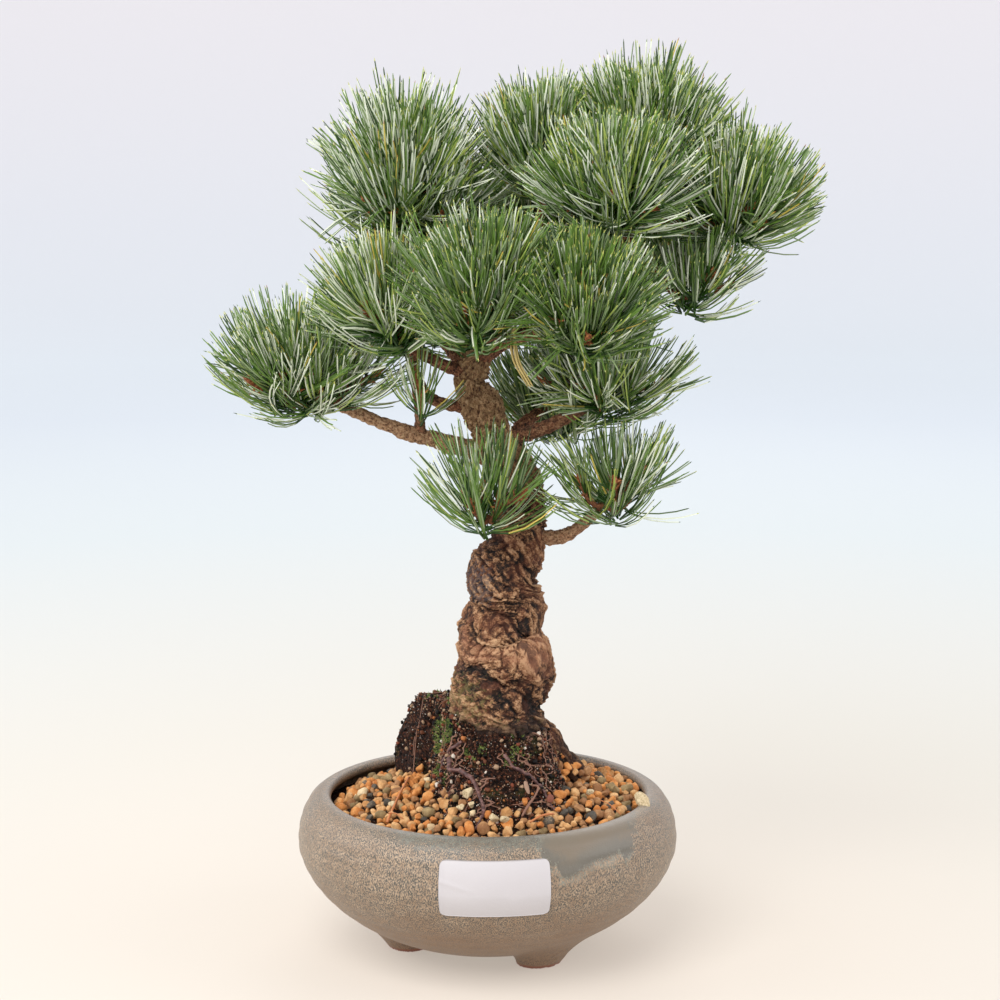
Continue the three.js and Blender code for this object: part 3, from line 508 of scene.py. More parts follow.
# %% Curves along limbs
def smooth(rows, steps):
    """A smooth curve through rows of numbers, with `steps` rows between each two given ones."""
    rows = np.asarray(rows, float)
    last = len(rows) - 1
    out = []
    for i in range(last):
        p0, p1, p2, p3 = (rows[min(max(i + k, 0), last)] for k in (-1, 0, 1, 2))
        cubic = 3 * (p1 - p2) + p3 - p0
        square = 2 * p0 - 5 * p1 + 4 * p2 - p3
        for t in np.arange(steps) / steps:
            out.append(p1 + 0.5 * t * (p2 - p0 + t * (square + t * cubic)))
    out.append(rows[last])
    return np.array(out)


def limb_rows(bough, steps=2):
    """Rows of x, y, z, radius along a bough."""
    foot, tip, *path = bough
    radii = np.linspace(foot, tip, len(path))
    return smooth([(*p, r) for p, r in zip(path, radii)], steps)


def unit(vectors):
    return vectors / np.maximum(np.linalg.norm(vectors, axis=-1, keepdims=True), 1e-9)


print("points along the left bough:", len(limb_rows(BOUGHS["left_bough"])))

# %% [markdown]
# Bark needs rings of points that don't twist against each other. So each ring takes its first
# direction from the ring before it. A bough is thicker in a collar where it leaves the wood.

# %% Rings round limbs
# A limb that starts steeper than this takes its first side from the x axis.
STEEP = 0.8


def frames_along(rows, flat_start=False):
    """For each row, the heading of the limb and two directions across it, without twist."""
    middles = rows[:, :3]
    along = unit(np.concatenate([middles[1:2] - middles[:1], middles[2:] - middles[:-2],
                                 middles[-1:] - middles[-2:-1]]))
    if flat_start:
        along[0] = (0, 0, 1)
    side = np.array([1.0, 0, 0]) if abs(along[0, 2]) > STEEP else np.array([0, 0, 1.0])
    sides = []
    for heading in along:
        side = unit(side - heading * side.dot(heading))
        sides.append(side)
    sides = np.array(sides)
    return along, sides, np.cross(along, sides)


def way_along(rows):
    """How far along its limb each row is."""
    steps = np.linalg.norm(np.diff(rows[:, :3], axis=0), axis=1)
    return np.concatenate([[0], np.cumsum(steps)])


def skin(rows, sides, flat_start=False):
    """Bearings, outward directions and middles of a limb's skin, ring by ring."""
    along, side, up = frames_along(rows, flat_start)
    bearing = np.linspace(0, 2 * math.pi, sides, endpoint=False)
    out = (side[:, None] * np.cos(bearing)[:, None] + up[:, None] * np.sin(bearing)[:, None])
    return bearing, out, rows[:, None, :3]


def collar(rows, reach=7.0, swell=0.28):
    """The same rows, thicker where the bough leaves the wood that carries it."""
    rows = rows.copy()
    rows[:, 3] *= 1 + swell * np.exp(-((way_along(rows) / reach) ** 2))
    return rows


def even_rows(rows, spacing):
    """Rows at even steps along the limb."""
    way = way_along(rows)
    marks = np.linspace(0, way[-1], max(int(way[-1] / spacing), 4))
    return np.stack([np.interp(marks, way, rows[:, k]) for k in range(4)], axis=-1)


print("the trunk is", round(float(way_along(smooth(TRUNK, 2))[-1])), "mm along its bends")

# %% [markdown]
# The lower trunk was wired and twisted when it was young. Its bark now lies in one deep fold
# that winds up round it like a screw, with swollen wood between. Plates of old bark follow the
# fold, so the noise for them is looked up along the fold and across it, not along the trunk.

# %% The fold and the plates of the trunk
FOLD = {
    "depth": 3.6, "sharp": 0.5, "swell": 1.42, "top": 205.0, "fade": 24.0, "strip": 19.0, "lift": 4.0,
}
# Heights where the fold passes the left and the right side in turn, from below the soil.
FOLD_LEVELS = (94, 116, 136, 147, 160, 176, 193, 211, 232, 256, 284, 318)


def fold_bearing(z):
    """Where the fold is at a height, as a bearing that runs on turn after turn."""
    return -math.pi * (1 + np.interp(z, FOLD_LEVELS, np.arange(len(FOLD_LEVELS))))


def along_fold(bearing, z, radius, stretch):
    """Places for noise that follow the fold low down and the trunk high up."""
    away = bearing - fold_bearing(z)
    turn = np.floor(away / (2 * math.pi))
    height = FOLD["strip"] * (away / (2 * math.pi) - turn) + 37.0 * turn
    free = smoothstep(z, 196.0, 222.0)
    level = height * (1 - free) + 0.55 * z * free
    return polar(radius * (stretch * (1 - free) + free), bearing, level)


def bell(values, width):
    """1 where the values are 0, falling to nothing a few widths away."""
    return np.exp(-((values / width) ** 2))


def lumps(spot, *rows):
    """Noises added up, each from its height, its width and its seed."""
    return sum(high * noise(spot, wide, seed) for high, wide, seed in rows)


def blushed_at(bearing, z):
    """1 on the swollen turn where the outer bark has come off."""
    facing, leftward = -np.sin(bearing), -np.cos(bearing)
    return bell(z - 143 - 4 * leftward, 5) * smoothstep(facing, -0.1, 0.6)


def shaken(spot, size, seed):
    """Three noises at each place, to shake it by."""
    return np.stack([noise(spot, size, seed + k) for k in range(3)], axis=-1)


def trunk_relief(bearing, z, radius):
    """How far the bark stands out in millimetres, the number of its plate and its grain."""
    spot = polar(radius, bearing, z)
    fade = smoothstep(z, FOLD["top"] + 4, FOLD["top"] - FOLD["fade"])
    wander = lumps(spot, (0.25, 15.0, 3), (0.25, 6.0, 4), (0.12, 2.5, 5))
    level = z + FOLD["lift"] * np.sin(bearing)
    away = bearing - fold_bearing(level) + wander
    across = np.abs(np.sin(away / 2))
    relief = FOLD["depth"] * fade * (FOLD["swell"] * across ** FOLD["sharp"] - 1)
    relief += lumps(spot, (0.9, 13.0, 7), (0.4, 6.5, 17))
    smooth_turn = blushed_at(bearing, z)
    rough = 1 - 0.35 * smooth_turn
    relief += 0.8 * smooth_turn
    # Laps of bark lie over each other along the fold, each thickest at its edge.
    drift = lumps(spot, (1.5, 8.0, 8), (0.7, 3.0, 9))
    bent = along_fold(bearing, level, radius, 0.2) + (0, 0, 1) * drift[..., None]
    lap = bent[..., 2] / 3.1
    lap -= np.floor(lap)
    relief += rough * (0.8 + 0.6 * noise(spot, 9.0, 60)) * (1.5 * lap**1.6 - 0.6)
    relief -= rough * (0.7 + 0.7 * noise(spot, 7.0, 61)) * bell(np.minimum(lap, 1 - lap), 0.07)
    # Long plates follow the laps, finer ones the grain, and broad cracks cross both.
    edge, number = plates(bent, 2.6, 20)
    relief += rough * (0.9 * (number - 0.5) - 0.7 * bell(edge, 0.12))
    grain = along_fold(bearing, level, radius, 0.16) + 0.5 * shaken(spot, 2.6, 50)
    fine_edge, fine_number = plates(grain, 1.15, 30)
    relief += rough * (0.75 * (fine_number - 0.5) - 0.4 * bell(fine_edge, 0.15))
    scale_edge, scale_number = plates(spot + 1.5 * shaken(spot, 4.0, 80), 4.6, 90)
    relief += 0.3 * (scale_number - 0.5) - (0.5 + 0.9 * smooth_turn) * bell(scale_edge, 0.06)
    relief += 0.35 * clouds(spot, 1.3, 2, 40)
    return relief, number, grain

print("turns of the fold from soil to fork:", round(float(-fold_bearing(200) / (2 * math.pi)), 2))

# %% [markdown]
# The relief becomes shape, because a bump in the finish would leave a smooth outline. How far
# each point stands out from the wood beside it is kept on the mesh for the colour, where it gives
# painted shade in the hollows and painted highlight on what stands out.

# %% Bark as a mesh
def bark_piece(name, rows, sides, relief_of, nodes, material, flat_start=False, extra=None):
    """A limb with the bark's relief as real shape, and its height kept for the colour."""
    bearing, out, middles = skin(rows, sides, flat_start)
    bearings = np.broadcast_to(bearing, out.shape[:2])
    levels = np.broadcast_to(rows[:, 2:3], out.shape[:2])
    radii = np.broadcast_to(rows[:, 3:4], out.shape[:2])
    relief, number, grain = relief_of(bearings, levels, radii)
    places = middles + out * (radii + relief)[..., None]
    ends = np.stack([places[0].mean(axis=0), places[-1].mean(axis=0)])
    shape = np.concatenate([places.reshape(-1, 3), ends]), closed_faces(len(rows), sides)
    # What stands out from the ring's neighbourhood is pale, and what lies back is dark: partly the
    # bark's own tones, partly painted highlight and painted shade.
    window = range(-(sides // 24), sides // 24 + 1)
    broad = sum(np.roll(relief, shift, axis=1) for shift in window) / len(window)
    share = np.clip(0.5 + 0.28 * (relief - broad) + 0.07 * (relief - relief.mean()), 0, 1)
    values = {"relief": share, "plate": number, "grain": grain * MM}
    values.update(extra(bearings, levels) if extra else {})
    values = {key: v.reshape(-1, *v.shape[2:]) for key, v in values.items()}
    values = {key: np.concatenate([v, v[[0, -1]]]) for key, v in values.items()}
    add_piece(name, shape, [material], frame_slot(nodes[0]), nodes, values=values)

# %% [markdown]
# Old bark is darkest in its cracks and palest where plates stand proud, partly in its own tones
# and partly as painted shade in the cracks and painted highlight on the plates. Four places differ:
# one swollen turn in the lower half is smooth and pinkish, olive lichen sits low on the left,
# the left above it is dark and bluish, and the young upper part is tan with small dark dots.
# Each of these places is a value kept on the mesh.

# %% Bark finish
def field(place, name, output=2):
    """A value kept on the mesh, such as the bark's relief."""
    return place.make("ShaderNodeAttribute", {"attribute_name": name}, output=output)


BARK_STOPS = (0.17, 0.34, 0.48, 0.61, 0.82)


def bark_finish(name, *tones):
    """Bark in five tones from its cracks to its plates' edges, partly painted shade and highlight."""
    material, surface, place = finish(name, roughness=0.85)
    streaks = field(place, "grain", 1).noise(1.0, 6.0, 0.75)
    crumbs = place.noise(0.8, 4.0, 0.7)
    # Painted shade and highlight: the kept relief darkens what lies back and lightens what stands out,
    # while plate numbers, streaks and crumbs give the bark's own tones.
    relief_shade_and_grain = field(place, "relief") * 0.85 + (field(place, "plate") - 0.5) * 0.25
    relief_shade_and_grain = relief_shade_and_grain + (streaks - 0.5) * 1.7 + (crumbs - 0.5) * 1.1
    colour = relief_shade_and_grain.tones(*[(at, *tone) for at, tone in zip(BARK_STOPS, tones)])
    return material, surface, place, colour, relief_shade_and_grain * 0.6 + crumbs * 0.4


def ragged_field(place, name, amount, *cloud):
    """A value kept on the mesh, made ragged by noise."""
    return field(place, name) + (place.noise(*cloud) - 0.5) * amount


old_bark, old_surface, old_place, old_colour, old_height = bark_finish(
    "old_bark", (16, 9, 6), (58, 37, 24), (108, 72, 47), (156, 112, 76), (206, 164, 124),
)
broad_tone = old_place.noise(9.0, 3.0)
rusty = (broad_tone.step(0.42, 0.62) * 0.35).mix(old_colour, screen(124, 66, 40))
blush = ragged_field(old_place, "blush", 2.2, 3.0, 5.0, 0.65).step(0.4, 0.9)
blushed = (blush * 0.22).mix(rusty, screen(206, 146, 112))
lichen = ragged_field(old_place, "lichen", 3.0, 2.6, 5.0, 0.65).step(0.5, 0.95)
mossy = (lichen * 0.5).mix(blushed, screen(118, 112, 62))
specks = ragged_field(old_place, "specks", 2.6, 1.8, 4.0).step(0.8, 1.0)
specked = (specks * 0.6).mix(mossy, screen(60, 62, 70))
dots = old_place.times(1.0, 1.0, 0.6)
# What stands out is paler on the young tan bark too: painted highlight.
tan_tone = (dots.noise(1.4, 4.0, 0.65) + (old_height - 0.5) * 0.25).tones(
    (0.34, 66, 42, 27), (0.42, 160, 120, 84), (0.54, 198, 158, 114), (0.7, 226, 192, 150),
)
young = ragged_field(old_place, "young", 0.7, 8.0, 3.0).step(0.25, 0.75)
grown = (young * 0.85).mix(specked, tan_tone)
wet = ragged_field(old_place, "wet", 0.8, 5.0, 4.0).step(0.15, 0.9)
connect(
    old_surface, base_color=(wet * 0.8).mix(grown, screen(34, 23, 17)),
    normal=old_place.bump(old_height, 0.9),
)

print("old bark nodes:", len(old_bark.node_tree.nodes))

# %% [markdown]
# The trunk is one limb from the soil to the fork and on to the tip, so that its bark runs
# through. Its special places are found by height and by the side that they face.

# %% Trunk
def trunk_places(bearings, levels):
    """Where the trunk is blushed, mossy, specked or wet."""
    facing, leftward = -np.sin(bearings), -np.cos(bearings)
    low = bell(levels - 124, 11) * smoothstep(leftward + 0.4 * facing, 0.2, 1.0)
    foot = 0.45 * bell(levels - 112, 8)
    high = bell(levels - 174, 12) * smoothstep(leftward + 0.5 * facing, 0.4, 1.0)
    return {
        "blush": blushed_at(bearings, levels), "lichen": 0.7 * low + foot, "specks": high,
        "wet": smoothstep(levels, 121, 103), "young": smoothstep(levels, 206.0, 234.0),
    }


bark_piece(
    "twisted_trunk", smooth(TRUNK, 18), 210, trunk_relief, ["trunk"], old_bark, True, trunk_places,
)

# %% [markdown]
# One thick root leaves the trunk on the right and runs down into the gravel. It is a limb of
# its own with the same bark, sunk into the trunk's foot.

# %% Root flare
def flare_relief(bearing, z, radius):
    spot = polar(radius, bearing, z)
    edge, number = plates(spot * (0.8, 0.8, 0.5), 2.6, 70)
    relief = 0.9 * (number - 0.5) - 0.9 * bell(edge, 0.15)
    return relief + 1.1 * noise(spot, 7.0, 71) + 0.4 * clouds(spot, 1.6, 2, 72), number, spot


def flare_places(bearings, levels):
    none = np.zeros(bearings.shape)
    damp = 0.2 + 0.5 * smoothstep(levels, 102, 90)
    mossy_top = 0.5 * smoothstep(levels, 96, 108)
    return {"blush": none, "lichen": none + mossy_top, "specks": none, "wet": damp, "young": none}


bark_piece(
    "root_flare", even_rows(limb_rows(FLARE, 10), 0.6), 72, flare_relief, ["trunk"], old_bark,
    extra=flare_places,
)

# %% [markdown]
# The boughs are younger: reddish brown and scaly, with a ring of small scars every few
# millimetres where needles once sat. The lowest left bough has weathered to a paler tan.

# %% Boughs
young_bark, young_surface, young_place, young_colour, young_height = bark_finish(
    "young_bark", (44, 26, 18), (92, 54, 36), (132, 82, 56), (162, 110, 78), (194, 148, 112),
)
pale = ragged_field(young_place, "pale", 0.6, 3.0).step(0.2, 0.8)
# What stands out is paler on the weathered tan too: painted highlight.
weathered = (young_place.noise(1.3, 4.0, 0.65) + (young_height - 0.5) * 0.3).tones(
    (0.34, 78, 52, 38), (0.43, 150, 112, 80), (0.55, 184, 148, 112), (0.7, 210, 178, 142),
)
connect(
    young_surface, base_color=(pale * 0.85).mix(young_colour, weathered),
    normal=young_place.bump(young_height, 0.35),
)
# How far each weathered bough has gone from reddish brown to tan.
PALE_BOUGHS = {"left_bough": 0.9, "low_right_bough": 0.6, "left_spur": 0.4, "middle_right_bough": 0.35}
RING_STEP = 0.55


def bough_relief_for(seed):
    def relief_of(bearing, level, radius):
        along = np.arange(bearing.shape[0])[:, None] * np.ones_like(bearing) * RING_STEP
        log = polar(radius, bearing, along * 0.8)
        edge, number = plates(log, 1.9, seed)
        relief = 0.5 * (number - 0.5) - 0.3 * bell(edge, 0.16)
        scars = np.sin(along * 1.35 + 0.8 * noise(log, 5.0, seed + 5))
        relief += 0.16 * scars + lumps(log, (0.45, 5.5, seed + 6), (0.14, 1.1, seed + 7))
        return relief * np.clip(radius / 3.2, 0.5, 1.1), number, log
    return relief_of


for number, (name, bough) in enumerate(BOUGHS.items()):
    rows = even_rows(collar(limb_rows(bough, 10)), RING_STEP)
    share = PALE_BOUGHS.get(name, 0.0)
    bark_piece(
        name + "_bark", rows, 40, bough_relief_for(60 + 10 * number), [name], young_bark,
        extra=lambda bearings, levels, share=share: {"pale": np.full(bearings.shape, share)},
    )

# %% [markdown]
# Every mass of needles grows by one rule from the tip of its bough. Shoots are spread through
# the space of the mass by golden turns, and twigs join them to the wood, round the limbs.
# The solid model follows the same rule, so the needles here stand where its needles stand.

# %% Sizes of the masses of needles
# Each mass: its bough, the middle and half-sizes of its space, its shoots and its seed.
MASSES = {
    "left_pad": ("left_bough", (-84, -14, 282), (48, 40, 32), 5, 34),
    "left_spur_tuft": ("left_spur", (-31, -22, 274), (25, 24, 20), 1, 12),
    "middle_left_pad": ("middle_left_bough", (-43, -28, 312), (33, 34, 31), 3, 35),
    "upper_left_pad": ("upper_left_bough", (-37, 6, 365), (41, 42, 45), 6, 34),
    "front_pad": ("front_bough", (0, -50, 322), (37, 35, 36), 5, 32),
    "front_right_pad": ("front_right_bough", (43, -52, 315), (34, 33, 34), 5, 33),
    "right_pad": ("right_bough", (110, -2, 357), (41, 38, 34), 5, 17),
    "lower_right_pad": ("lower_right_spur", (92, -10, 325), (31, 30, 22), 2, 18),
    "top_left_pad": ("top_left_bough", (25, 14, 379), (32, 35, 34), 4, 19),
    "top_pad": ("top_bough", (72, 18, 385), (41, 38, 35), 6, 20),
    "top_front_pad": ("top_front_bough", (56, -32, 366), (38, 32, 33), 4, 32),
    "middle_right_pad": ("middle_right_bough", (56, -16, 276), (39, 33, 24), 4, 33),
    "low_right_pad": ("low_right_bough", (58, -18, 232), (36, 32, 27), 3, 23),
    "low_front_pad": ("low_front_bough", (0, -28, 228), (36, 31, 28), 3, 24),
    "low_back_pad": ("low_back_bough", (34, 52, 261), (38, 36, 27), 4, 25),
    "back_left_pad": ("back_left_bough", (-34, 50, 306), (37, 37, 30), 4, 26),
    "back_top_pad": ("back_top_bough", (20, 64, 340), (38, 36, 34), 4, 27),
    "back_right_pad": ("back_right_bough", (80, 56, 333), (38, 36, 29), 4, 28),
}
GAP = 0.35
CORE = {"rings": 4, "step": 4.0, "radius": 4.4, "tail": 2.0}
SHOOT = {
    "inset": 0.46, "least": 8, "headroom": 0.84, "foot": 17, "jitter": 0.9,
    "outward": 0.75, "along": 0.2, "rise": 0.95, "moves": 25,
}
TWIG = {
    "radius": 1.2, "power": 0.35, "long_way": 0.35, "lead": 5, "shortest": 1.5,
    "bends": (-0.12, 0.12, 0.3), "in_core": 2,
}
NEEDLE = {"length": 45.0, "share": 1.6, "clear": 0.8}
CLEAR = {"limb": 1.0, "samples": 12}
GOLDEN_TURN = math.pi * (3 - math.sqrt(5))
print("masses of needles:", len(MASSES))

# %% [markdown]
# Every mass keeps to its own space, so that sky shows between them as it does between the pads
# of a trimmed tree. A few tests say what is inside a space and what is free of wood.

# %% Room for each mass
def seeded(seed):
    """The source's row of numbers from 0 to 1, from a seed."""
    state = (seed * 2654435761) & 0xFFFFFFFF

    def draw():
        nonlocal state
        state = (state * 1664525 + 1013904223) & 0xFFFFFFFF
        return state / 4294967296
    return draw


def depth_in(mass, places):
    """How far out places are in a mass's space: 1 on its border."""
    _, middle, half, _, _ = mass
    return np.linalg.norm((places - np.array(middle)) / np.array(half), axis=-1)


def owns(mass, place, margin):
    """True where a place is in the mass's space and `margin` away from every other mass's."""
    own = depth_in(mass, place)
    if own > 1:
        return False
    least = min(mass[2])
    return all(
        depth_in(other, place) - own > margin * (1 / least + 1 / min(other[2]))
        for other in MASSES.values() if other is not mass
    )


def needle_length(mass):
    """Small masses have shorter needles."""
    return min(NEEDLE["length"], NEEDLE["share"] * mass[2][2])


bough_rows = {name: limb_rows(bough) for name, bough in BOUGHS.items()}
balls = np.concatenate([smooth(TRUNK, 3)] + [smooth(rows, 3) for rows in bough_rows.values()])

def free_of(place, radius):
    """True where a ball at a place is clear of every limb."""
    gaps = np.linalg.norm(balls[:, :3] - place, axis=1) - balls[:, 3]
    return gaps.min() > radius + CLEAR["limb"]


print("places that stand for wood:", len(balls))

# %% [markdown]
# On the tree the shoots spread until each has light. Golden turns spread them as evenly, and a
# shoot that meets a limb or a neighbour's space is moved a millimetre at a time.

# %% Shoots
def settle(mass, tip, axis):
    """Moves a shoot's tip until it is clear of the limbs and in the mass's own space."""
    middle = np.array(mass[1], float)
    reach = CORE["radius"] + CORE["step"]
    for _ in range(SHOOT["moves"]):
        heart = tip - axis * (CORE["rings"] - 1) * CORE["step"] / 2
        free = free_of(heart, reach)
        own = owns(mass, heart, reach)
        if not free:
            gaps = np.linalg.norm(balls[:, :3] - heart, axis=1) - balls[:, 3]
            tip = tip + unit(heart - balls[gaps.argmin(), :3])
        if not own:
            tip = tip + unit(middle - tip)
        if free and own:
            break
    return tip


def shoots_of(mass, stem, heading):
    """The shoots of a mass, nearest its stem first, as tips and axes."""
    _, middle, half, count, seed = mass
    random = seeded(seed)
    length = needle_length(mass)
    wide, deep = (max(h - SHOOT["inset"] * length, SHOOT["least"]) for h in half[:2])
    top = half[2] - SHOOT["headroom"] * length
    bottom = min(SHOOT["foot"] - half[2], top)
    shoots = []
    for i in range(count):
        share = (i + 0.5) / count
        turn = i * GOLDEN_TURN + random() * SHOOT["jitter"] + seed
        flat = math.sqrt(share) if count > 1 else 0
        x, y = flat * math.cos(turn), flat * math.sin(turn)
        tip = np.array(middle) + np.array([x * wide, y * deep, top + (bottom - top) * share])
        axis = np.array([x * SHOOT["outward"], y * SHOOT["outward"], SHOOT["rise"]])
        axis = unit(axis + heading * SHOOT["along"])
        shoots.append((settle(mass, tip, axis), axis))
    return sorted(shoots, key=lambda shoot: np.linalg.norm(shoot[0] - stem))


print("shoots to reach:", sum(mass[3] for mass in MASSES.values()))

# %% [markdown]
# Twigs fork off each other, and a long way round costs them. So each shoot is joined to the
# joint that is nearest along the wood, by a twig that bends clear of the limbs.

# %% Twigs that join the shoots
def clear_of_limbs(stem, heading, a, b):
    """True where a stretch of twig is clear of every limb but the bough that it grows from."""
    for t in np.linspace(0, 1, CLEAR["samples"] + 1):
        place = a + (b - a) * t
        ahead = place - stem
        near_stem = np.linalg.norm(ahead) < 2 * TWIG["lead"] and ahead.dot(heading) > 0
        if not near_stem and not free_of(place, TWIG["radius"]):
            return False
    return True


def twigs_of(shoots, stem, heading):
    """Joins the shoots to the stem. Gives the chains of joints and the shoots they reach."""
    joints = [{"at": stem + heading * TWIG["lead"], "from": None, "way": 0.0, "tips": 0}]
    reached = []
    for tip, axis in shoots:
        heel = tip - axis * ((CORE["rings"] - 1) * CORE["step"] + CORE["tail"])
        start = min(joints, key=lambda joint: np.linalg.norm(joint["at"] - heel)
                    + TWIG["long_way"] * joint["way"])
        span = np.linalg.norm(heel - start["at"])
        middle = (start["at"] + heel) / 2
        bends = [middle + np.array([0, 0, rise * span]) for rise in TWIG["bends"]]
        bent = next((p for p in bends if clear_of_limbs(stem, heading, start["at"], p)
                     and clear_of_limbs(stem, heading, p, heel)), None)
        if bent is None or span < TWIG["shortest"]:
            continue
        bend = {"at": bent, "from": start, "way": start["way"] + span / 2, "tips": 0}
        inside = heel + axis * (CORE["tail"] + TWIG["in_core"])
        end = {"at": inside, "from": bend, "way": start["way"] + span, "tips": 0}
        joints += [bend, end]
        joint = end
        while joint:
            joint["tips"] += 1
            joint = joint["from"]
        reached.append((tip, axis, end))
    return joints[0], reached


def grow(mass):
    """The stem, the first joint and the shoots of one mass."""
    rows = bough_rows[mass[0]]
    tip = rows[-1, :3]
    heading = unit(tip - rows[-2, :3])
    stem = tip + heading * GAP
    first, reached = twigs_of(shoots_of(mass, stem, heading), stem, heading)
    return stem, first, reached


grown = {name: grow(mass) for name, mass in MASSES.items()}
print("shoots that twigs reach:", sum(len(reached) for _, _, reached in grown.values()))

# %% [markdown]
# Each shoot of the solid model stands for a small fan of real ones. So every shoot carries up
# to three side shoots here, a centimetre or so long, and each has its own brush of needles.

# %% Finer shoots
FORK = {"count": 3, "angle": 50.0, "length": 13.0, "start": 0.4, "clear": 2.0}
BRUSH = {"length": 22.0, "bundles": 25, "side_bundles": 17}
# Masses that are thinner than the others in the photograph, and the share of bundles they keep.
THIN = {
    "left_spur_tuft": 0.3, "low_front_pad": 0.5, "low_right_pad": 0.55, "lower_right_pad": 0.7,
    "middle_right_pad": 0.75, "left_pad": 0.75, "middle_left_pad": 0.85, "right_pad": 0.85,
}


def across(axis):
    """Two directions across an axis."""
    side = unit(np.cross(np.array([0.2, 0.9, 0.4]), axis))
    return side, np.cross(axis, side)


def fork(mass, tip, axis, rng):
    """The side shoots of one shoot, as feet, tips and axes."""
    side, up = across(axis)
    shank = (CORE["rings"] - 1) * CORE["step"]
    turn = rng.uniform(0, 2 * math.pi)
    made = []
    for k in range(FORK["count"]):
        around = turn + 2 * math.pi * k / FORK["count"] + rng.uniform(-0.5, 0.5)
        angle = math.radians(FORK["angle"] + rng.uniform(-18, 18))
        out = side * math.cos(around) + up * math.sin(around)
        way = unit(axis * math.cos(angle) + out * math.sin(angle))
        foot = tip - axis * shank * (FORK["start"] + rng.uniform(0, 0.5))
        end = foot + way * FORK["length"] * rng.uniform(0.7, 1.4)
        if depth_in(mass, end) < 0.85 and free_of(end, FORK["clear"]):
            made.append((foot, end, unit(way + np.array([0, 0, 0.35]))))
    return made


brushes = []
stalks = []
for name, (stem, first, reached) in grown.items():
    rng = np.random.default_rng(MASSES[name][4])
    thin = THIN.get(name, 1.0)
    for tip, axis, end in reached:
        brushes.append((name, tip, axis, round(BRUSH["bundles"] * thin)))
        stalks.append((end["at"], tip))
        for foot, side_tip, side_axis in fork(MASSES[name], tip, axis, rng):
            if rng.random() < thin:
                brushes.append((name, side_tip, side_axis, round(BRUSH["side_bundles"] * thin)))
                stalks.append((foot, side_tip))
print("brushes of needles:", len(brushes))

# %% [markdown]
# White pine needles come five to a bundle. Each is three-sided: a round green back that faces
# out, and two inner faces with pale waxy lines. Seen into a brush they look silver, and seen
# from outside green, so a three-sided needle with two colours gives that sheen for free. The
# palest wax colour is brighter than wax alone and is partly painted highlight.

# %% Needles
BLADE = {
    "radius": 0.37, "stations": (0.0, 0.27, 0.52, 0.78, 0.965, 1.0),
    "widths": (0.75, 1.0, 1.0, 0.97, 0.8),
}
OPENING = {"narrowest": 8.0, "widest": 86.0, "power": 0.9, "jitter": 12.0}
BEND = {"least": 0.06, "most": 0.62, "up": 0.72}


def brush_needles(name, tip, axis, bundles, rng):
    """Feet, headings, bends and lengths of one brush's bundles."""
    side, up = across(axis)
    order = np.arange(bundles)
    share = (order + 0.5) / bundles
    turn = order * GOLDEN_TURN + rng.uniform(0, 2 * math.pi) + rng.normal(0, 0.12, bundles)
    fan = OPENING["widest"] - OPENING["narrowest"]
    opening = OPENING["narrowest"] + fan * share ** OPENING["power"]
    opening = np.radians(opening + rng.normal(0, OPENING["jitter"], bundles))
    radial = side * np.cos(turn)[:, None] + up * np.sin(turn)[:, None]
    way = axis * np.cos(opening)[:, None] + radial * np.sin(opening)[:, None]
    way = unit(way + np.array([0, 0, 0.12]))
    foot = tip - axis * (share * BRUSH["length"])[:, None] + radial * 0.8
    length = needle_length(MASSES[name]) * rng.uniform(0.76, 1.0, bundles) * (0.9 + 0.16 * share)
    length *= rng.uniform(0.84, 1.08)
    lift = np.clip(rng.normal(0.9 - 0.6 * share, 0.5), -0.7, 1.2)
    pull = unit(axis * (1 - BEND["up"]) + np.array([0, 0, BEND["up"]]) * lift[:, None])
    bend = pull - way * (way * pull).sum(axis=1, keepdims=True)
    more = (BEND["most"] - BEND["least"]) * share * rng.uniform(0.5, 1.4, bundles)
    bend *= (BEND["least"] + more)[:, None]
    return foot, way, bend, length


def five_from_each(foot, way, bend, length, rng):
    """Five needles for each bundle, spread a little, each with its back outward."""
    count = len(foot)
    first = unit(np.cross(way, np.array([0.31, 0.52, 0.8])))
    other = np.cross(way, first)
    spin = rng.uniform(0, 2 * math.pi, count)[:, None] + np.arange(5) * 2 * math.pi / 5
    back = first[:, None] * np.cos(spin)[..., None] + other[:, None] * np.sin(spin)[..., None]
    spread = rng.uniform(0.04, 0.17, (count, 5))
    ways = unit(way[:, None] + back * spread[..., None])
    bends = bend[:, None] - back * (spread * 0.3)[..., None] + rng.normal(0, 0.04, (count, 5, 3))
    feet = foot[:, None] + back * 0.3
    lengths = length[:, None] * rng.uniform(0.93, 1.04, (count, 5))
    return (feet.reshape(-1, 3), ways.reshape(-1, 3), bends.reshape(-1, 3), back.reshape(-1, 3),
            lengths.ravel())

print("needles in a full brush:", 5 * BRUSH["bundles"])

# %% [markdown]
# A real needle ends where its neighbours leave it room. Here one that would leave its mass is
# shortened a little or left out, and so is one that would run through wood.

# %% Needles that can stay
# No needle may leave this box, whatever its mass.
CROWN_LOW = np.array([-137.0, -99.0, 180.0])
CROWN_HIGH = np.array([152.0, 104.0, 424.0])


def along_needles(feet, ways, bends, lengths, t):
    """Places at a share of the way along curved needles."""
    return feet + (ways * t + bends * t * t) * lengths[:, None]


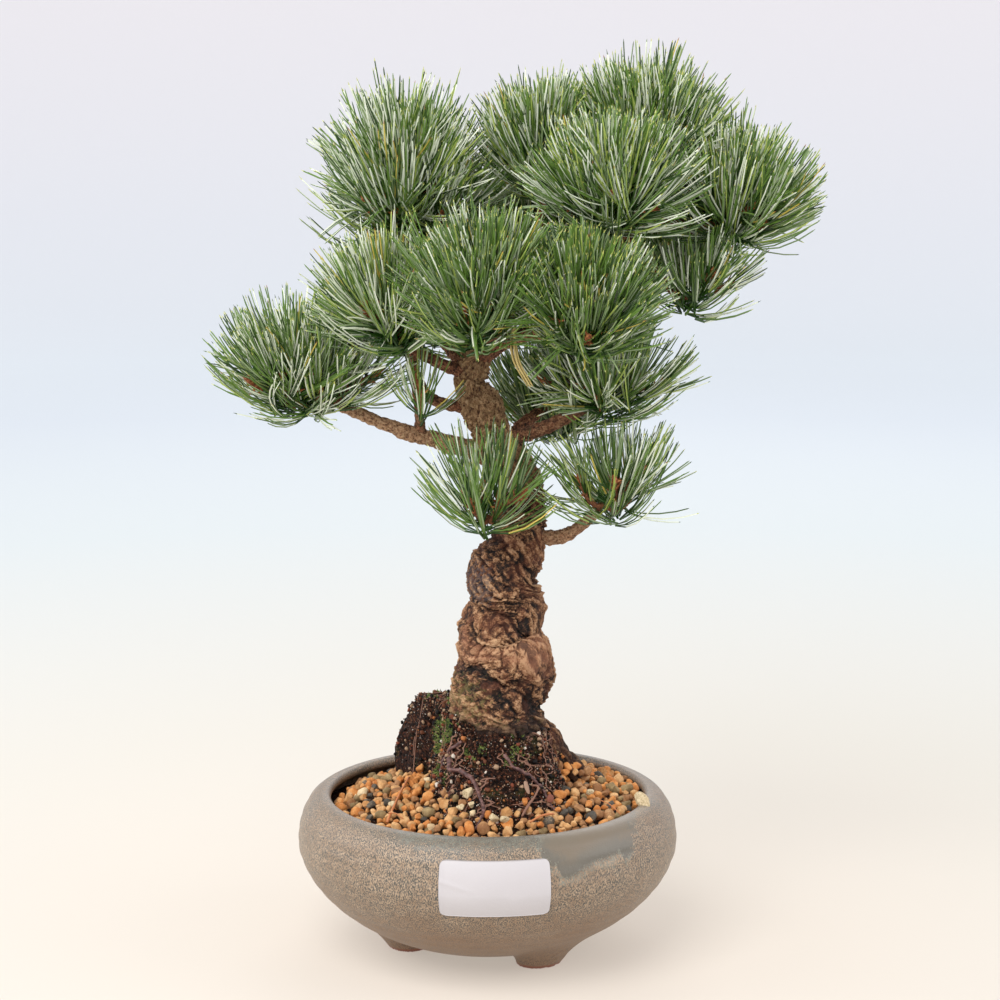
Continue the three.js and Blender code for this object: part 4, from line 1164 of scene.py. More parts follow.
def kept(mass, feet, ways, bends, lengths, rng):
    """Shortens needles that leave the mass's space, and says which can stay."""
    limit = rng.uniform(0.92, 1.36) + rng.uniform(-0.1, 0.1, len(feet))
    scale = np.zeros(len(feet))
    for trial in (0.74, 0.81, 0.88, 0.94, 1.0):
        end = along_needles(feet, ways, bends, lengths * trial, 1.0)
        inside = ((end > CROWN_LOW) & (end < CROWN_HIGH)).all(axis=1)
        scale = np.where(inside & (depth_in(mass, end) < limit), trial, scale)
    stays = scale > 0
    lengths = lengths * np.where(stays, scale, 1)
    for t in (0.35, 0.6, 0.85, 1.0):
        places = along_needles(feet, ways, bends, lengths, t)
        near = np.linalg.norm(places[:, None] - balls[None, :, :3], axis=-1) - balls[:, 3]
        stays &= near.min(axis=1) > NEEDLE["clear"]
    return lengths, stays


print("the crown may be", (CROWN_HIGH - CROWN_LOW).round(), "mm in size")

# %% [markdown]
# A flat card with a picture of needles would be cheaper, but it shows as a card from the side.
# Each needle is a real three-sided blade of few faces, twisted a little, with its own tip.

# %% Skins of needles
def needle_skins(feet, ways, bends, backs, lengths, rng):
    """Places and triangles of three-sided needles, and the part of each triangle."""
    count = len(feet)
    rings = []
    widths = BLADE["radius"] * rng.uniform(0.88, 1.12, count)
    twist = rng.normal(0, 0.5, count)
    for t, width in zip(BLADE["stations"][:-1], BLADE["widths"]):
        middle = along_needles(feet, ways, bends, lengths, t)
        tangent = unit(ways + 2 * bends * t)
        out = unit(backs - tangent * (backs * tangent).sum(axis=1)[:, None])
        beside = np.cross(tangent, out)
        for corner in (math.pi / 3, math.pi, -math.pi / 3):
            turn = corner + twist * t
            arm = out * np.cos(turn)[:, None] + beside * np.sin(turn)[:, None]
            rings.append(middle + arm * (widths * width)[:, None])
    rings.append(along_needles(feet, ways, bends, lengths, 1.0))
    places = np.stack(rings, axis=1)
    triangles, parts = needle_faces()
    starts = np.arange(count)[:, None, None] * places.shape[1]
    return places.reshape(-1, 3), (triangles + starts).reshape(-1, 3), parts


def needle_faces():
    """The triangles of one needle, and which part each is: 0 back, 1 inner, 2 tip, 3 foot."""
    triangles, parts = [], []
    stations = len(BLADE["stations"]) - 1
    for ring in range(stations - 1):
        for k in range(3):
            a, b = ring * 3 + k, ring * 3 + (k + 1) % 3
            triangles += [(a, b, b + 3), (a, b + 3, a + 3)]
            parts += [3 if ring == 0 else 0 if k == 2 else 1] * 2
    last = (stations - 1) * 3
    for k in range(3):
        triangles.append((last + k, last + (k + 1) % 3, last + 3))
        parts.append(2)
    return np.array(triangles), np.array(parts)


print("triangles in a needle:", len(needle_faces()[0]))

# %% [markdown]
# The colours are plain ones dealt out by brush and by needle: some brushes are fresher, some
# greyer, a few old needles are straw yellow, and many tips are a lighter yellow green.

# %% Needle finishes and pieces
NEEDLE_COLOURS = {
    "needle_deep": (44, 70, 26), "needle_green": (96, 128, 52), "needle_fresh": (160, 178, 86),
    # The palest wax is partly the needles' own waxy lines and partly painted highlight.
    "needle_wax_grey": (138, 158, 112), "needle_wax_and_highlight": (230, 236, 214),
    "needle_tip": (190, 192, 104), "needle_straw": (200, 180, 84), "needle_brown": (150, 100, 60),
    # The foot green is partly the needles' own vivid green, partly painted shade inside the brush.
    "needle_foot_green_and_shade": (46, 84, 24),
}
DEEP, GREEN, FRESH, WAX_GREY, WAX_AND_HIGHLIGHT, TIP, STRAW, BROWN, FOOT = range(len(NEEDLE_COLOURS))
needle_materials = [
    plain(name, screen(*colour), 0.36) for name, colour in NEEDLE_COLOURS.items()
]
REGIONS = {
    "left_needles": ("left_pad", "left_spur_tuft", "middle_left_pad", "upper_left_pad"),
    "front_needles": ("front_pad", "front_right_pad"),
    "right_needles": ("right_pad", "lower_right_pad"),
    "top_needles": ("top_left_pad", "top_pad", "top_front_pad"),
    "low_needles": ("middle_right_pad", "low_right_pad", "low_front_pad"),
    "back_needles": ("low_back_pad", "back_left_pad", "back_top_pad", "back_right_pad"),
}


# Masses that are seen from outside, so that fewer pale inner faces show on them.
WAX_SHARES = {"front_pad": 1.0, "front_right_pad": 1.2, "low_back_pad": 1.2, "low_front_pad": 3.0}
USUAL_WAX_SHARE = 5.0


def deal_colours(name, count, parts, rng):
    """A colour for each triangle of each needle of one brush."""
    greens = rng.choice([DEEP, GREEN, FRESH], p=rng.dirichlet([5.0, 5.0, 2.5]), size=count)
    shares = rng.dirichlet([3.2, 3.0, WAX_SHARES.get(name, USUAL_WAX_SHARE)])
    waxes = rng.choice([GREEN, WAX_GREY, WAX_AND_HIGHLIGHT], p=shares, size=count)
    tips = np.where(rng.random(count) < 0.4, TIP, greens)
    old = rng.random(count)
    greens = np.where(old < 0.01, STRAW, greens)
    waxes = np.where(old < 0.01, STRAW, waxes)
    tips = np.where(old < 0.02, BROWN, tips)
    # Most needle feet take the foot green: partly their own colour, partly painted shade.
    feet = np.where(rng.random(count) < 0.75, FOOT, greens)
    return np.stack([greens, waxes, tips, feet], axis=1)[:, parts]

print("needle colours:", len(needle_materials))

# %% [markdown]
# The needles are joined by region of the crown. Particles or instances would be lighter, but
# they don't leave Blender as meshes, and pieces of this size do.

# %% Needles by region
def grow_region(masses):
    """Places, triangles and colours of all needles of some masses."""
    parts_made, kinds_made = [], []
    for index, (name, tip, axis, bundles) in enumerate(brushes):
        if name not in masses:
            continue
        rng = np.random.default_rng(1000 + index)
        bundle = brush_needles(name, tip, axis, bundles, rng)
        feet, ways, bends, backs, lengths = five_from_each(*bundle, rng)
        lengths, stays = kept(MASSES[name], feet, ways, bends, lengths, rng)
        chosen = [row[stays] for row in (feet, ways, bends, backs, lengths)]
        if not stays.any():
            continue
        places, triangles, parts = needle_skins(*chosen, rng)
        parts_made.append((places, triangles))
        kinds_made.append(deal_colours(name, len(chosen[0]), parts, rng).ravel())
    return *joined(parts_made), np.concatenate(kinds_made)


for region, masses in REGIONS.items():
    *shape, kinds = grow_region(masses)
    add_piece(
        region, shape, needle_materials, frame_slot(masses[0]), masses, kinds=kinds, smooth=False,
    )

# %% [markdown]
# Twigs carry the brushes. They are thin and rough where old needles sat. Round tubes with
# uneven rings are enough, because needles hide most of them.

# %% Twigs
def tube(rows, sides, rough=0.0, seed=0):
    """Places and faces of a thin closed tube along rows of x, y, z, radius."""
    bearing, out, middles = skin(rows, sides)
    radii = rows[:, None, 3:4] * np.ones((1, sides, 1))
    places = middles + out * radii
    if rough:
        places = places + out * (rough * radii[..., 0] * noise(places, 1.1, seed))[..., None]
    places = np.concatenate([places.reshape(-1, 3), rows[:1, :3], rows[-1:, :3]])
    return places, closed_faces(len(rows), sides)


def twig_radius(joint):
    """A twig is thicker, the more shoots it carries."""
    return TWIG["radius"] * max(joint["tips"], 1) ** TWIG["power"]


twig_parts = []
for name, (stem, first, reached) in grown.items():
    back_inside = stem - (first["at"] - stem) * 0.4
    rows = [(*at, twig_radius(first)) for at in (back_inside, stem, first["at"])]
    twig_parts.append(tube(smooth(rows, 5), 8, 0.3, 5))
    for tip, axis, end in reached:
        chain = [end, end["from"], end["from"]["from"]]
        radii = [twig_radius(end), twig_radius(end), twig_radius(end["from"])]
        rows = [(*joint["at"], radius) for joint, radius in zip(chain, radii)][::-1]
        twig_parts.append(tube(smooth(rows, 7), 8, 0.3, 6))
for foot, tip in stalks:
    rows = np.linspace((*foot, 1.15), (*tip, 0.9), 9)
    twig_parts.append(tube(rows, 8, 0.45, 7))
TWIG_TONES = ((0.3, 70, 40, 26), (0.5, 128, 78, 48), (0.7, 176, 120, 76))
twig_bark = grained("twig_bark", 0.8, (1.0, 4.0, 0.65), TWIG_TONES, 0.4)
add_piece("twigs", joined(twig_parts), [twig_bark], "bark", MASSES)

# %% [markdown]
# Each shoot ends in a small orange-brown bud wrapped in papery scales, and more scales sit
# among the feet of its needles. They are short tubes too, whose rings stand out by turns.

# %% Buds
SCALES_PER_BRUSH = 9


def bud(tip, axis, rng):
    """A pointed bud with rings of scales that stand off it."""
    steps = np.linspace(0, 1, 9)
    length = rng.uniform(4.5, 7.5)
    girth = rng.uniform(1.0, 1.5)
    outline = np.sin(math.pi * (0.18 + 0.8 * steps)) ** 0.8 * (1 + 0.22 * (np.arange(9) % 2))
    rows = np.column_stack([tip + axis * (steps[:, None] * length - 1.5), girth * outline])
    return tube(rows, 7, 0.35, int(rng.integers(1000)))


rng = np.random.default_rng(77)
bud_parts = [bud(tip, unit(axis + rng.normal(0, 0.15, 3)), rng) for _, tip, axis, _ in brushes]
for _, tip, axis, _ in brushes:
    for _ in range(SCALES_PER_BRUSH):
        lean = unit(axis + rng.normal(0, 0.6, 3))
        heel = tip - axis * rng.uniform(0, 8) + lean * 0.8
        rows = np.linspace((*heel, 0.75), (*(heel + lean * rng.uniform(2.4, 5.6)), 0.12), 4)
        bud_parts.append(tube(rows, 5, 0.4, 9))
BUD_TONES = ((0.3, 96, 48, 26), (0.5, 156, 88, 48), (0.7, 204, 140, 86))
bud_scale = grained("bud_scale", 0.6, (1.4, 3.0), BUD_TONES)
add_piece("buds", joined(bud_parts), [bud_scale], "bark", smooth=False)
# A bundle of dry needles hangs in front of the fork, as in the photograph.
DRY_BUNDLE = ((12.0, -57.0, 299.0), (11.6, -59.0, 291.0), (13.2, -60.5, 283.0), (18.6, -61.0, 273.5))
dry_parts = []
for _ in range(6):
    rows = np.array(DRY_BUNDLE) + rng.normal(0, 0.9, 3) * np.array([[0.2], [0.8], [1.0], [1.0]])
    rows = np.column_stack([rows, (0.4, 0.45, 0.45, 0.25)])
    dry_parts.append(tube(smooth(rows, 5), 5, 0.1, 2))
dry_needle = plain("dry_needle", screen(190, 168, 104), 0.5)
add_piece("dry_needles", joined(dry_parts), [dry_needle], frame_slot("front_pad"))

# %% [markdown]
# The bowl is thrown on a wheel: a wide belly that turns in to a rounded lip, and three feet
# pulled out of its underside. Feet could be separate pieces, but clay has no seam there. So
# the belly's own grid is drawn down to the table, with a soft fillet round each foot.

# %% Outline of the bowl
BOWL = {
    "radius": 89.0, "widest": 51.0, "height": 74.2, "lip": 75.8, "wall": 5.2, "base": 4.5,
    "base_radius": 29.0, "floor": 11.0, "lower_curve": 1.66, "upper_curve": 2.15, "sides": 360,
}
FEET = {"count": 3, "ring": 38.0, "turn": -51.0, "splay": 0.35, "depth": 0.85, "blend": 5.0}
FOOT_LEVELS = ((0.0, 11.0), (5.0, 13.5), (20.0, 22.0), (30.0, 27.0))
LIP_ROLL = ((75.1, 74.1), (74.4, 73.7), (73.8, 72.9), (73.6, 71.9), (73.8, 70.9), (74.6, 69.9))


def bowl_arcs(inset, lower_steps, upper_steps):
    """Radius and height from the foot of the belly to the lip."""
    a = np.linspace(0, math.pi / 2, lower_steps)
    reach = BOWL["radius"] - inset - BOWL["base_radius"]
    drop = BOWL["widest"] - BOWL["base"] - inset
    lower = np.stack([
        BOWL["base_radius"] + reach * np.sin(a) ** (2 / BOWL["lower_curve"]),
        BOWL["widest"] - drop * np.cos(a) ** (2 / BOWL["lower_curve"]),
    ], axis=1)
    a = np.linspace(0, math.pi / 2, upper_steps)[1:]
    rise = BOWL["height"] - inset - BOWL["widest"]
    upper = np.stack([
        BOWL["lip"] + (BOWL["radius"] - inset - BOWL["lip"]) * np.cos(a) ** (2 / BOWL["upper_curve"]),
        BOWL["widest"] + rise * np.sin(a) ** (2 / BOWL["upper_curve"]),
    ], axis=1)
    return np.concatenate([lower, upper])


outer_wall = bowl_arcs(0.0, 96, 44)


def belly_radius(z):
    """The radius of the outside at a height above its base."""
    return np.interp(z, outer_wall[:, 1], outer_wall[:, 0])


NO_FOOT = 60.0


def foot_height(x, y):
    """How high a foot's flank is over a place under the belly."""
    levels = np.linspace(0, 30, 61)
    reach = np.interp(levels, *np.transpose(FOOT_LEVELS))
    height = np.full(x.shape, NO_FOOT)
    for k in range(FEET["count"]):
        turn = math.radians(FEET["turn"] + 360 / FEET["count"] * k)
        along = x * math.cos(turn) + y * math.sin(turn)
        beside = -x * math.sin(turn) + y * math.cos(turn)
        ring = FEET["ring"] + FEET["splay"] * levels
        depth = (along[..., None] - ring) / (FEET["depth"] * reach)
        inside = np.hypot(depth, beside[..., None] / reach)
        reached = inside <= 1
        first = np.where(reached.any(axis=-1), levels[reached.argmax(axis=-1)], NO_FOOT)
        slack = np.clip(inside[..., 0] - 1, 0, None)
        height = np.minimum(height, np.where(first > 0, np.maximum(first, slack * 4), 0.0))
    return height


def soft_min(a, b, blend):
    """The lower of two heights, with a fillet where they meet."""
    h = np.clip(0.5 + 0.5 * (b - a) / blend, 0, 1)
    return b * (1 - h) + a * h - blend * h * (1 - h)


print("belly is widest at", outer_wall[outer_wall[:, 0].argmax()].round(1))

# %% [markdown]
# One grid of rings makes the whole wall, inside and out. Faint waves follow the turns that
# the potter's fingers left, so that the glaze doesn't shine like a machined part.

# %% Bowl
def make_bowl():
    """The wall as rings from under the middle, up the outside, over the lip and down inside."""
    centre = np.linspace(1.0, BOWL["base_radius"], 14)[:-1]
    under = np.stack([centre, np.full(len(centre), BOWL["base"])], axis=1)
    inner = bowl_arcs(BOWL["wall"], 40, 20)[::-1]
    inner = inner[(inner[:, 1] < LIP_ROLL[-1][1] - 0.8) & (inner[:, 1] > BOWL["floor"])]
    floor = np.array([[20.0, BOWL["floor"]], [1.0, BOWL["floor"]]])
    outline = np.concatenate([under, outer_wall, LIP_ROLL, inner, floor])
    outside = len(under) + len(outer_wall)
    turns = np.linspace(0, 2 * math.pi, BOWL["sides"], endpoint=False)
    radii = np.repeat(outline[:, :1], len(turns), axis=1)
    heights = np.repeat(outline[:, 1:], len(turns), axis=1)
    ring = np.arange(len(outline))[:, None]
    thrown = polar(3.0, turns, heights * 0.5)
    wave = 0.22 * noise(thrown, 3.1, 2) + 0.12 * np.sin(heights * 1.1 + 2 * noise(thrown, 6.0, 4))
    fade = smoothstep(heights, 8.0, 26.0) * (ring < outside)
    radii = radii + wave * fade
    x, y = radii * np.cos(turns), radii * np.sin(turns)
    down = (ring < outside) & (outline[:, :1] < 72) & (outline[:, 1:] < 40)
    lowered = np.maximum(soft_min(heights, foot_height(x, y), FEET["blend"]), 0.0)
    heights = np.where(down, lowered, heights)
    places = np.stack([x, y, heights], axis=-1).reshape(-1, 3)
    places = np.concatenate([places, [[0, 0, BOWL["base"]], [0, 0, BOWL["floor"]]]])
    return places, closed_faces(len(outline), BOWL["sides"])


glaze, glaze_surface, glaze_place = finish("speckled_glaze")
add_piece("bowl", make_bowl(), [glaze], "stoneware", ["pot"])

# %% [markdown]
# The glaze broke in the kiln: a blue-grey coat shows through a net of fine beige specks. The
# specks are densest low on the belly and give way to bare blue-grey near the lip, with one
# large patch at the right of the front. A patch is only a place where the specks thin out.

# %% Glaze
def bowl_place(place, name):
    """A coordinate in millimetres from the bowl's axis."""
    shift = {"X": BOWL_AXIS[0], "Y": BOWL_AXIS[1], "Z": 0.0}[name]
    return (place.axis(name) - float(shift)) / MM


def grey(value):
    """A number as a colour, for a ramp that gives numbers."""
    return (value, value, value, 1.0)


across_bowl, level = bowl_place(glaze_place, "X"), bowl_place(glaze_place, "Z")
on_front = bowl_place(glaze_place, "Y").step(10.0, -10.0)
wander = glaze_place.noise(22.0, 3.0) - 0.5
ragged = glaze_place.noise(4.0, 4.0, 0.65) - 0.5
PATCH = {"left": 20.0, "width": 50.0, "low": 56.0, "high": 24.0}
# Across the patch from left to right: how high its lower border runs.
PATCH_EDGE = ((0.0, 1.0), (0.12, 0.5), (0.26, 0.17), (0.36, 0.12), (0.46, 0.25), (0.6, 0.33),
              (0.76, 0.36), (0.9, 0.25), (0.95, 1.0))
patch_share = (across_bowl + ragged * 18 + wander * 6 - PATCH["left"]) / PATCH["width"]
patch_edge = patch_share.ramp(*[(at, grey(height)) for at, height in PATCH_EDGE])
patch_edge = patch_edge * PATCH["high"] + PATCH["low"]
smooth_patch = (level - patch_edge + ragged * 8).step(-4.0, 3.5) * on_front
left_patch = (level + ragged * 11 + wander * 9).step(68.5, 75.0) * on_front
left_patch = left_patch * across_bowl.step(-46.0, -34.0) * across_bowl.step(32.0, 20.0)
lip_band = (level + wander * 14 + ragged * 6).step(69.0, 76.0)
bare = smooth_patch + left_patch * 0.24 + lip_band * 0.05
stretched = glaze_place.times(1.0, 1.0, 0.5)
dashes = stretched.noise(0.45, 2.0, 0.5)
clumps = stretched.noise(2.4, 3.0, 0.6)
net = dashes * 0.85 + clumps * 0.15 + wander * 0.05
shown = (net + bare * 0.4).step(0.4, 0.6)
# Browner and darker low on the belly: partly the glaze's own tone, partly painted shade.
low_belly_tone_and_shade = (level + wander * 24).step(46.0, 16.0)
beige = (clumps + wander * 0.6).step(0.35, 0.65)
beige = beige.mix(screen(156, 132, 108), screen(182, 158, 132))
beige = (low_belly_tone_and_shade * 0.8).mix(beige, screen(144, 114, 86))
dark = (wander + 0.5).mix(screen(92, 86, 76), screen(78, 78, 74))
dark = (low_belly_tone_and_shade * 0.75).mix(dark, screen(104, 80, 60))
dark = smooth_patch.mix(dark, screen(122, 110, 94))
blue_edge = (level - patch_edge + ragged * 3).step(9.0, 1.0) * smooth_patch
dark = (blue_edge * 0.5).mix(dark, screen(98, 102, 98))
coat = shown.mix(beige, dark)
# Pale specks gather where the patch and the strip under the lip begin.
rim = (level - patch_edge + ragged * 12).step(-9.0, -2.0) * on_front * across_bowl.step(14.0, 24.0)
rim = rim + left_patch - smooth_patch * 1.2
pale_specks = (dashes + clumps * 0.3).step(0.66, 0.7) * rim.step(0.2, 0.8)
coat = (pale_specks * 0.42).mix(coat, screen(172, 172, 156))
coat = (lip_band * 0.22).mix(coat, screen(112, 110, 102))
bare_foot = level.step(2.4, 0.6)
coat = bare_foot.mix(coat, screen(132, 72, 48))
connect(
    glaze_surface, base_color=coat, roughness=0.5 - shown * 0.14,
    normal=glaze_place.bump(net * 0.7 + glaze_place.noise(5.0) * 0.5, 0.22),
)
print("glaze nodes:", len(glaze.node_tree.nodes))

# %% [markdown]
# A plain paper label sits on the front of the bowl. Paper on a round belly can't lie quite
# flat, so it keeps a crease or two and its left edge lifts a little.

# %% Label
LABEL = {
    "width": 50.0, "low": 41.0, "high": 66.6, "corner": 2.6, "turn": -87.6, "lift": 0.25,
    "thick": 0.18, "grid": (90, 46),
}


def make_label():
    across_count, up_count = LABEL["grid"]
    s, t = np.meshgrid(np.linspace(-1, 1, across_count), np.linspace(-1, 1, up_count), indexing="ij")
    half_wide, half_high = LABEL["width"] / 2, (LABEL["high"] - LABEL["low"]) / 2
    corner = LABEL["corner"]
    over = np.clip(np.abs(t) * half_high - (half_high - corner), 0, corner)
    rounding = corner - np.sqrt(corner**2 - over**2)
    x = s * (half_wide - rounding)
    z = (LABEL["high"] + LABEL["low"]) / 2 + t * half_high
    flat = np.stack([x, z, 0 * x], axis=-1)
    crease = bell(x * 0.3 + z - 50, 1.2) * smoothstep(x, -6.0, -20.0) * 0.25
    lift = LABEL["lift"] + crease + 0.12 * noise(flat, 9.0, 3) + 0.35 * smoothstep(x, -22.0, -25.0)
    radius = belly_radius(z) + lift
    bearing = math.radians(LABEL["turn"]) + x / belly_radius(54.0)
    sheets = [polar(radius + out, bearing, z).reshape(-1, 3) for out in (0.0, LABEL["thick"])]
    k, i = np.meshgrid(np.arange(across_count - 1), np.arange(up_count - 1), indexing="ij")
    a = (k * up_count + i).ravel()
    front = np.stack([a, a + up_count, a + up_count + 1, a + 1], axis=1)
    total = across_count * up_count
    edge = np.concatenate([
        np.arange(0, up_count), np.arange(2, across_count + 1) * up_count - 1,
        np.arange(total - 2, total - up_count - 1, -1),
        np.arange(across_count - 2, 0, -1) * up_count,
    ])
    after = np.roll(edge, -1)
    rim = np.stack([edge, after, after + total, edge + total], axis=1)
    faces = np.concatenate([front[:, ::-1], front + total, rim])
    return np.concatenate(sheets), faces


label_paper, label_surface, label_place = finish("label_paper", roughness=0.55)
fibres = label_place.noise(0.6, 5.0, 0.7)
connect(
    label_surface, base_color=(fibres * 0.35).mix(screen(200, 196, 198), screen(190, 186, 188)),
    normal=label_place.bump(fibres, 0.05),
)
add_piece("blank_label", make_label(), [label_paper], "paper", ["label"])

# %% [markdown]
# The root ball stands as a heap round the foot of the trunk, black and wet, steep on the left
# and reaching forward to the lip. Behind on the left a lobe stands out, where old roots were
# cut. Its outline is given by a few bearings, as in the solid.

# %% Shape of the root ball
GRAVEL_EDGE, GRAVEL_MIDDLE, GRAVEL_TILT = 69.9, 83.0, 2.4
MOUND_MIDDLE = np.array([3.0, -6.0])
MOUND = np.array([
    # bearing, toe, crest, top, hollow
    (0, 38, 24, 107, 1), (45, 38, 25, 109, 1), (78, 46, 32, 111, 0.8), (100, 57, 43, 113, 0.5),
    (134, 67, 54, 113, 0.42), (148, 48, 37, 114, 0.5), (160, 32, 24, 113, 0.7),
    (192, 29, 21.5, 111, 0.75), (222, 33, 20, 109, 0.9), (244, 48, 19, 108, 1.1),
    (264, 57, 19, 107, 1.15), (290, 57, 19, 106, 1.2), (314, 50, 21, 106, 1.15),
    (336, 41, 23, 106, 1.1),
])


def mound_at(degrees):
    """Toe, crest, top and hollow of the root ball at bearings in degrees."""
    turn = np.mod(degrees, 360)
    bearings = np.append(MOUND[:, 0], 360)
    k = np.clip(np.searchsorted(bearings, turn, side="right") - 1, 0, len(MOUND) - 1)
    after = (k + 1) % len(MOUND)
    t = (turn - bearings[k]) / (bearings[k + 1] - bearings[k])
    s = (t * t * (3 - 2 * t))[..., None]
    return np.moveaxis(MOUND[k, 1:] * (1 - s) + MOUND[after, 1:] * s, -1, 0)


def mound_height(radius, degrees):
    """The height of the root ball, which rounds off over its crest."""
    toe, crest, top, hollow = mound_at(degrees)
    up = (toe - radius) / (toe - crest)
    up = np.where(up > 0.75, 0.75 + 0.3 * np.tanh((up - 0.75) / 0.3), up)
    up = np.maximum(up, -0.25)
    return GRAVEL_EDGE + np.sign(up) * (top - GRAVEL_EDGE) * np.abs(up) ** hollow


def mound_smooth(radius, degrees):
    """Places on the root ball before its lumps."""
    flat = polar(radius, np.radians(degrees), mound_height(radius, degrees))
    return flat + np.array([*MOUND_MIDDLE, 0.0])


def mound_skin(radius, degrees):
    """Places on the rough surface of the root ball, and the way out of it."""
    middle = mound_smooth(radius, degrees)
    out_step = mound_smooth(radius + 0.8, degrees) - middle
    turn_step = mound_smooth(radius, degrees + 1.5) - middle
    normal = unit(np.cross(out_step, turn_step))
    normal = np.where(normal[..., 2:] < 0, -normal, normal)
    lump = lumps(middle, (2.4, 11.0, 11), (1.6, 4.6, 12), (0.9, 1.9, 13))
    lump = lump - 0.9 * bell(plates(middle, 3.2, 14)[0], 0.15)
    return middle + normal * lump[..., None], normal


print("root ball is", round(float(mound_height(41.0, 168.0)), 1), "mm high on its left lobe")

# %% [markdown]
# The surface is a grid of rings with lumps of three sizes and pits between crumbs. Its finish
# is nearly black, with brown grains, white specks that are partly grit and partly painted glints,
# and a green film where moss begins.

# %% Root ball
MOUND_GRID = {"rings": 180, "sides": 440, "inner": 9.0}


def make_mound():
    """Rings from under the trunk to the toe, closer together where the flank is steep."""
    degrees = np.linspace(0, 360, MOUND_GRID["sides"], endpoint=False)
    toe = mound_at(degrees)[0]
    share = np.linspace(0, 1, MOUND_GRID["rings"])[:, None]
    reach = toe + 2.0
    even = MOUND_GRID["inner"] + (reach - MOUND_GRID["inner"]) * share
    steep = reach - (reach - MOUND_GRID["inner"]) * (1 - share) ** 1.5
    radius = np.where(toe < 48, steep, even) * 0.5 + even * 0.5
    places, _ = mound_skin(radius, np.broadcast_to(degrees, radius.shape))
    return places.reshape(-1, 3), ring_faces(*radius.shape)


wet_soil, soil_surface, soil_place = finish("wet_soil", roughness=0.6, specular_ior_level=0.12)
soil_grain = soil_place.noise(1.3, 6.0, 0.7)
soil_colour = soil_grain.tones(
    (0.34, 8, 4, 3), (0.5, 30, 17, 12), (0.6, 84, 50, 36), (0.72, 152, 112, 86),
)
# White specks on the soil: partly grit, partly painted glints.
white_grit_and_glints = soil_place.noise(0.9, 1.0, 0.5).step(0.7, 0.74)
soil_moss = ((soil_place.noise(9.0, 3.0) - 0.5) * 2 + soil_grain).step(0.62, 0.95)
soil_colour = (soil_moss * 0.35).mix(soil_colour, screen(62, 70, 34))
connect(
    soil_surface, base_color=(white_grit_and_glints * 0.8).mix(soil_colour, screen(176, 166, 156)),
    roughness=soil_grain.ramp((0.3, grey(0.35)), (0.7, grey(0.85))),
    normal=soil_place.bump(soil_grain, 1.2),
)
add_piece("root_ball_skin", make_mound(), [wet_soil], "root_ball", ["root_ball"])
soil_node = frame["nodes"]["soil"]
soil_node.data.materials.clear()
soil_node.data.materials.append(wet_soil)

# %% [markdown]
# Pebbles, crumbs and grit are all lumps: a ball of triangles, knocked flat on a few sides and
# roughened. A dozen different lumps are made for each kind and then copied with their own
# size, turn and place into one joined mesh, which has a material for each colour.

# %% Lumps
def ball_of(subdivisions):
    """Places and triangles of an even ball of radius 1."""
    shape = bmesh.new()
    bmesh.ops.create_icosphere(shape, subdivisions=subdivisions, radius=1.0)
    places = np.array([v.co[:] for v in shape.verts])
    triangles = np.array([[v.index for v in f.verts] for f in shape.faces])
    shape.free()
    return places, triangles


def knocked(places, rng, cuts=11, flat=0.64, rough=0.14):
    """A ball that was knocked flat on some sides."""
    places = places * (1 + rough * noise(places + rng.uniform(0, 50), 0.8, 5))[:, None]
    for normal in unit(rng.normal(size=(cuts, 3))):
        over = np.clip(places @ normal - flat * rng.uniform(0.85, 1.1), 0, None)
        places = places - over[:, None] * normal * 0.92
    return places


def random_turns(count, rng):
    """Random turning matrices."""
    w, x, y, z = np.moveaxis(unit(rng.normal(size=(count, 4))), -1, 0)
    return np.stack([
        np.stack([1 - 2 * (y * y + z * z), 2 * (x * y - z * w), 2 * (x * z + y * w)], -1),
        np.stack([2 * (x * y + z * w), 1 - 2 * (x * x + z * z), 2 * (y * z - x * w)], -1),
        np.stack([2 * (x * z - y * w), 2 * (y * z + x * w), 1 - 2 * (x * x + y * y)], -1),
    ], -2)


def scatter(centres, sizes, subdivisions, rng, kinds=12, flatness=(0.7, 1.0)):
    """Lumps of given half-sizes at given places, as places and triangles."""
    places, triangles = ball_of(subdivisions)
    shapes = np.array([knocked(places, rng) for _ in range(kinds)])
    count = len(centres)
    chosen = shapes[rng.integers(kinds, size=count)]
    squash = rng.uniform(*flatness, (count, 1, 3))
    lumps = np.einsum("nij,nkj->nki", random_turns(count, rng), chosen * squash)
    lumps = lumps * sizes[:, None, None] + centres[:, None]
    starts = np.arange(count)[:, None, None] * len(places)
    return lumps.reshape(-1, 3), (triangles + starts).reshape(-1, 3)


print("a fine lump has", len(ball_of(3)[1]), "triangles")

# %% [markdown]
# The top dressing is baked clay and river gravel, four to nine millimetres across: orange
# and tan for the most part, some olive and dark grey, a few cream. Pebbles are thrown at
# random and one that would lie on another is dropped, then a deeper layer fills the gaps.

# %% Gravel
GRAVEL_REACH = 73.0
PEBBLE = {"least": 2.1, "more": 2.5, "power": 1.7, "top_detail": 3, "deep_detail": 2}


def gravel_height(x, y):
    """The top of the gravel, which is heaped towards the root ball and tilts up on the right."""
    share = (x**2 + y**2) / GRAVEL_REACH**2
    return GRAVEL_EDGE + (GRAVEL_MIDDLE - GRAVEL_EDGE) * (1 - share) + GRAVEL_TILT * x / GRAVEL_REACH


def on_mound(x, y):
    """How high the root ball stands over the gravel at a place."""
    dx, dy = x - MOUND_MIDDLE[0], y - MOUND_MIDDLE[1]
    return mound_height(np.hypot(dx, dy), np.degrees(np.arctan2(dy, dx))) - gravel_height(x, y)


